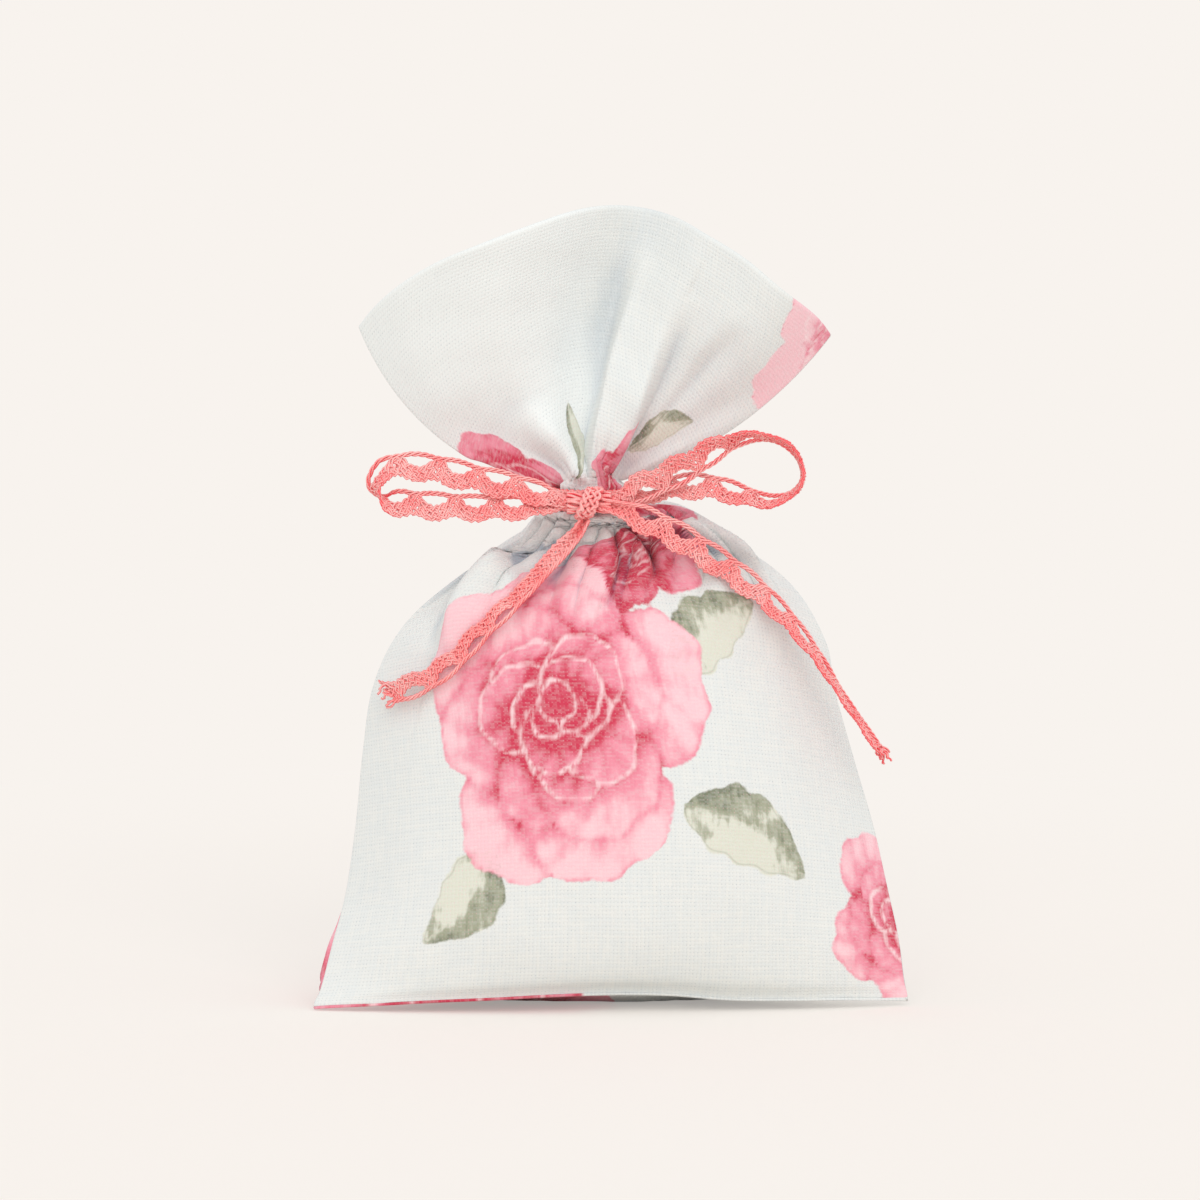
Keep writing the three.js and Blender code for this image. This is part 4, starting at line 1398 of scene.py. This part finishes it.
def makeFacing(panel):
    # the top of the panel turned in: it hangs behind the panel from the folded edge nearly down to the neck
    s = facingSettings
    columns = np.linspace(-s["halfReach"], s["halfReach"], s["columns"])
    points, normals = dressCloth(panel, *np.meshgrid(columns, np.linspace(s["from"], 3.0, s["rows"])))
    points = points - normals * s["behind"]
    quads = gridFaces(*points.shape[:2], panel == "back")
    maps = {"woven": flatMap(points)[1].reshape(-1, 2)[quads]}
    piece = newPiece(panel + "FacingCloth", points.reshape(-1, 3), quads.tolist(), maps)
    thicken(piece, s["thickness"])
    finishPiece(piece, panel + "_facing", liningMaterial)


fillingSettings = {
    "rows": 26,
    "columns": 30,
    "upFrom": 0.15,
    "upTo": 0.78,
    "wide": (0.88, 0.5),
    "wideOver": (0.3, 0.66),
    "deep": (0.82, 0.5),
    "deepOver": (0.35, 0.8),
    "roughness": 0.95,
    "headScale": 420.0,
    "bump": 0.0008,
    "dark": (112, 102, 134),
    "light": (158, 150, 160),
}


def makeFilling():
    # the stuffing: a soft body inside both panels, on a coarse grid of its own
    s = fillingSettings
    across, up = np.meshgrid(np.linspace(-1, 1, s["columns"]), np.linspace(s["upFrom"], s["upTo"], s["rows"]))
    across = across * mixed(*s["wide"], smoothRamp(up, *s["wideOver"]))
    front, back = smoothCloth("front", across, up), smoothCloth("back", across, up)
    middle = (front + back) / 2
    share = mixed(*s["deep"], smoothRamp(up, *s["deepOver"]))[..., None]
    front, back = mixed(middle, front, share), mixed(middle, back, share)
    rows, count = across.shape
    size = rows * count
    faces = gridFaces(rows, count, False).tolist() + gridFaces(rows, count, True, size).tolist()
    border = [(0, c) for c in range(count)] + [(r, count - 1) for r in range(1, rows)]
    border += [(rows - 1, c) for c in range(count - 2, -1, -1)] + [(r, 0) for r in range(rows - 2, 0, -1)]
    ring = [r * count + c for r, c in border]
    for i, here in enumerate(ring):
        after = ring[(i + 1) % len(ring)]
        faces.append([after, here, here + size, after + size])
    piece = newPiece("fillingPad", np.concatenate([front.reshape(-1, 3), back.reshape(-1, 3)]), faces)
    finer = piece.modifiers.new("rounding", "SUBSURF")
    finer.levels = 1
    finer.render_levels = 1
    applyModifiers(piece)
    material, tree, shader = startMaterial("driedLavender", s["roughness"])
    heads = noiseOf(tree, objectPlace(tree), s["headScale"], 3.0)
    share = stepBetween(tree, heads, 0.35, 0.65)
    dark, light = colourOf(*s["dark"]), colourOf(*s["light"])
    feed(tree, shader.inputs["Base Color"], blendColours(tree, share, dark, light))
    bumpOf(tree, shader, heads, s["bump"])
    finishPiece(piece, "filling", material)


seamSettings = {
    "inset": 0.985,
    "bottomInset": 0.98,
    "bottomUp": 0.006,
    "upFrom": 0.02,
    "upTo": 2.97,
    "sideSteps": 500,
    "bottomSteps": 240,
    "stitch": 0.0025,
    "sway": 0.00022,
    "radius": 0.00012,
    "sides": 6,
    "roughness": 0.8,
    "sheen": 0.1,
    "fibreSlope": 12.0,
    "bump": 0.00003,
    "dark": (226, 226, 220),
    "light": (246, 246, 242),
}


def makeSeamThreads():
    # lock stitches along the seams, just inside the edges
    s = seamSettings
    material, tree, shader = startMaterial("sewingCotton", s["roughness"], s["sheen"])
    twist = yarnTwist(tree, s["fibreSlope"])
    share = times(tree, plus(tree, twist, 1.0), 0.5)
    dark, light = colourOf(*s["dark"]), colourOf(*s["light"])
    feed(tree, shader.inputs["Base Color"], blendColours(tree, share, dark, light))
    bumpOf(tree, shader, twist, s["bump"])
    upSide = np.linspace(s["upFrom"], s["upTo"], s["sideSteps"])
    alongBottom = np.linspace(-s["bottomInset"], s["bottomInset"], s["bottomSteps"])
    lines = {
        "left_seam_thread": (np.full_like(upSide, -s["inset"]), upSide),
        "right_seam_thread": (np.full_like(upSide, s["inset"]), upSide),
        "bottom_seam_thread": (alongBottom, np.full_like(alongBottom, s["bottomUp"])),
    }
    for name, (across, up) in lines.items():
        front = smoothCloth("front", across[None], up[None])[0]
        back = smoothCloth("back", across[None], up[None])[0]
        line = (front + back) / 2
        gap = unit(front - back + 1e-9)
        line = line + gap * (s["sway"] * np.sin(fullTurn * runAlong(line) / s["stitch"]))[:, None]
        piece = tubePiece(name.title().replace("_", ""), [(line, gap, s["radius"])], s["sides"])
        finishPiece(piece, name, material)


makeFilling()
for panelName in ("front", "back"):
    makePanel(panelName, clothMaterial)
for panelName in ("front", "back"):
    makeFacing(panelName)
makeSeamThreads()
print("cloth, filling and seams made")

# studio

studioSettings = {
    "worldStrength": 0.83,
    "sunStrength": 0.95,
    "sunSpread": math.radians(50),
    "sunPlace": (0.06, -0.74, 0.50),
    "sunColour": (1.0, 0.97, 0.93),
    "paper": (248, 243, 238),
    "floorBounce": (242, 237, 230),
    "floorClear": 0.35,
    "floorSize": 6,
    "floorReach": (0.14, 0.36),
}


def chooseShader(tree, *given):
    # the share of the second shader, then both shaders, into the material's or the world's output
    output = [node for node in tree.nodes if node.type.startswith("OUTPUT")][0]
    feed(tree, output.inputs["Surface"], addNode(tree, "MixShader", enumerate(given))[0])


def setWorld():
    # soft light from all round, and plain paper where the camera, gloss and clear things see past the floor
    s = studioSettings
    world = bpy.data.worlds.new("studioWorld")
    world.use_nodes = True
    tree = world.node_tree
    lit = tree.nodes["Background"]
    lit.inputs["Color"].default_value = (1, 1, 1, 1)
    lit.inputs["Strength"].default_value = s["worldStrength"]
    seen = addNode(tree, "Background", {"Color": colourOf(*s["paper"]), "Strength": 1.0})[0]
    rays = addNode(tree, "LightPath")
    shown = sums(tree, "MAXIMUM", rays["Is Camera Ray"], rays["Is Glossy Ray"])
    shown = sums(tree, "MAXIMUM", shown, rays["Is Transmission Ray"])
    chooseShader(tree, shown, lit.outputs[0], seen)
    bpy.context.scene.world = world


def setFloor():
    # paper that keeps the pouch's shadow and fades to the plain background away from it
    s = studioSettings
    paper = colourOf(*s["paper"])
    deselectAll()
    bpy.ops.mesh.primitive_plane_add(size=s["floorSize"], location=(0, 0, 0))
    floor = bpy.context.object
    floor.name = "studioFloor"
    material = bpy.data.materials.new("studioPaper")
    material.use_nodes = True
    tree = material.node_tree
    tree.nodes.remove(tree.nodes["Principled BSDF"])
    straight = addNode(tree, "LightPath")["Is Camera Ray"]
    paint = blendColours(tree, straight, colourOf(*s["floorBounce"]), paper)
    card = addNode(tree, "BsdfDiffuse", {"Color": paint})[0]
    clear = addNode(tree, "Emission", {"Color": paper})[0]
    reach = addNode(tree, "VectorMath", {0: objectPlace(tree)}, operation="LENGTH")["Value"]
    far = stepBetween(tree, reach, *s["floorReach"])
    faded = times(tree, sums(tree, "MAXIMUM", far, s["floorClear"]), straight)
    chooseShader(tree, faded, card, clear)
    floor.data.materials.append(material)


def setSun():
    s = studioSettings
    bpy.ops.object.light_add(type="SUN", location=s["sunPlace"])
    sun = bpy.context.object
    sun.data.angle = s["sunSpread"]
    sun.data.energy = s["sunStrength"]
    sun.data.color = s["sunColour"]
    sun.rotation_euler = Vector(s["sunPlace"]).to_track_quat("Z", "Y").to_euler()


setWorld()
setFloor()
setSun()
bpy.context.scene.view_settings.view_transform = "Standard"
print("studio set")
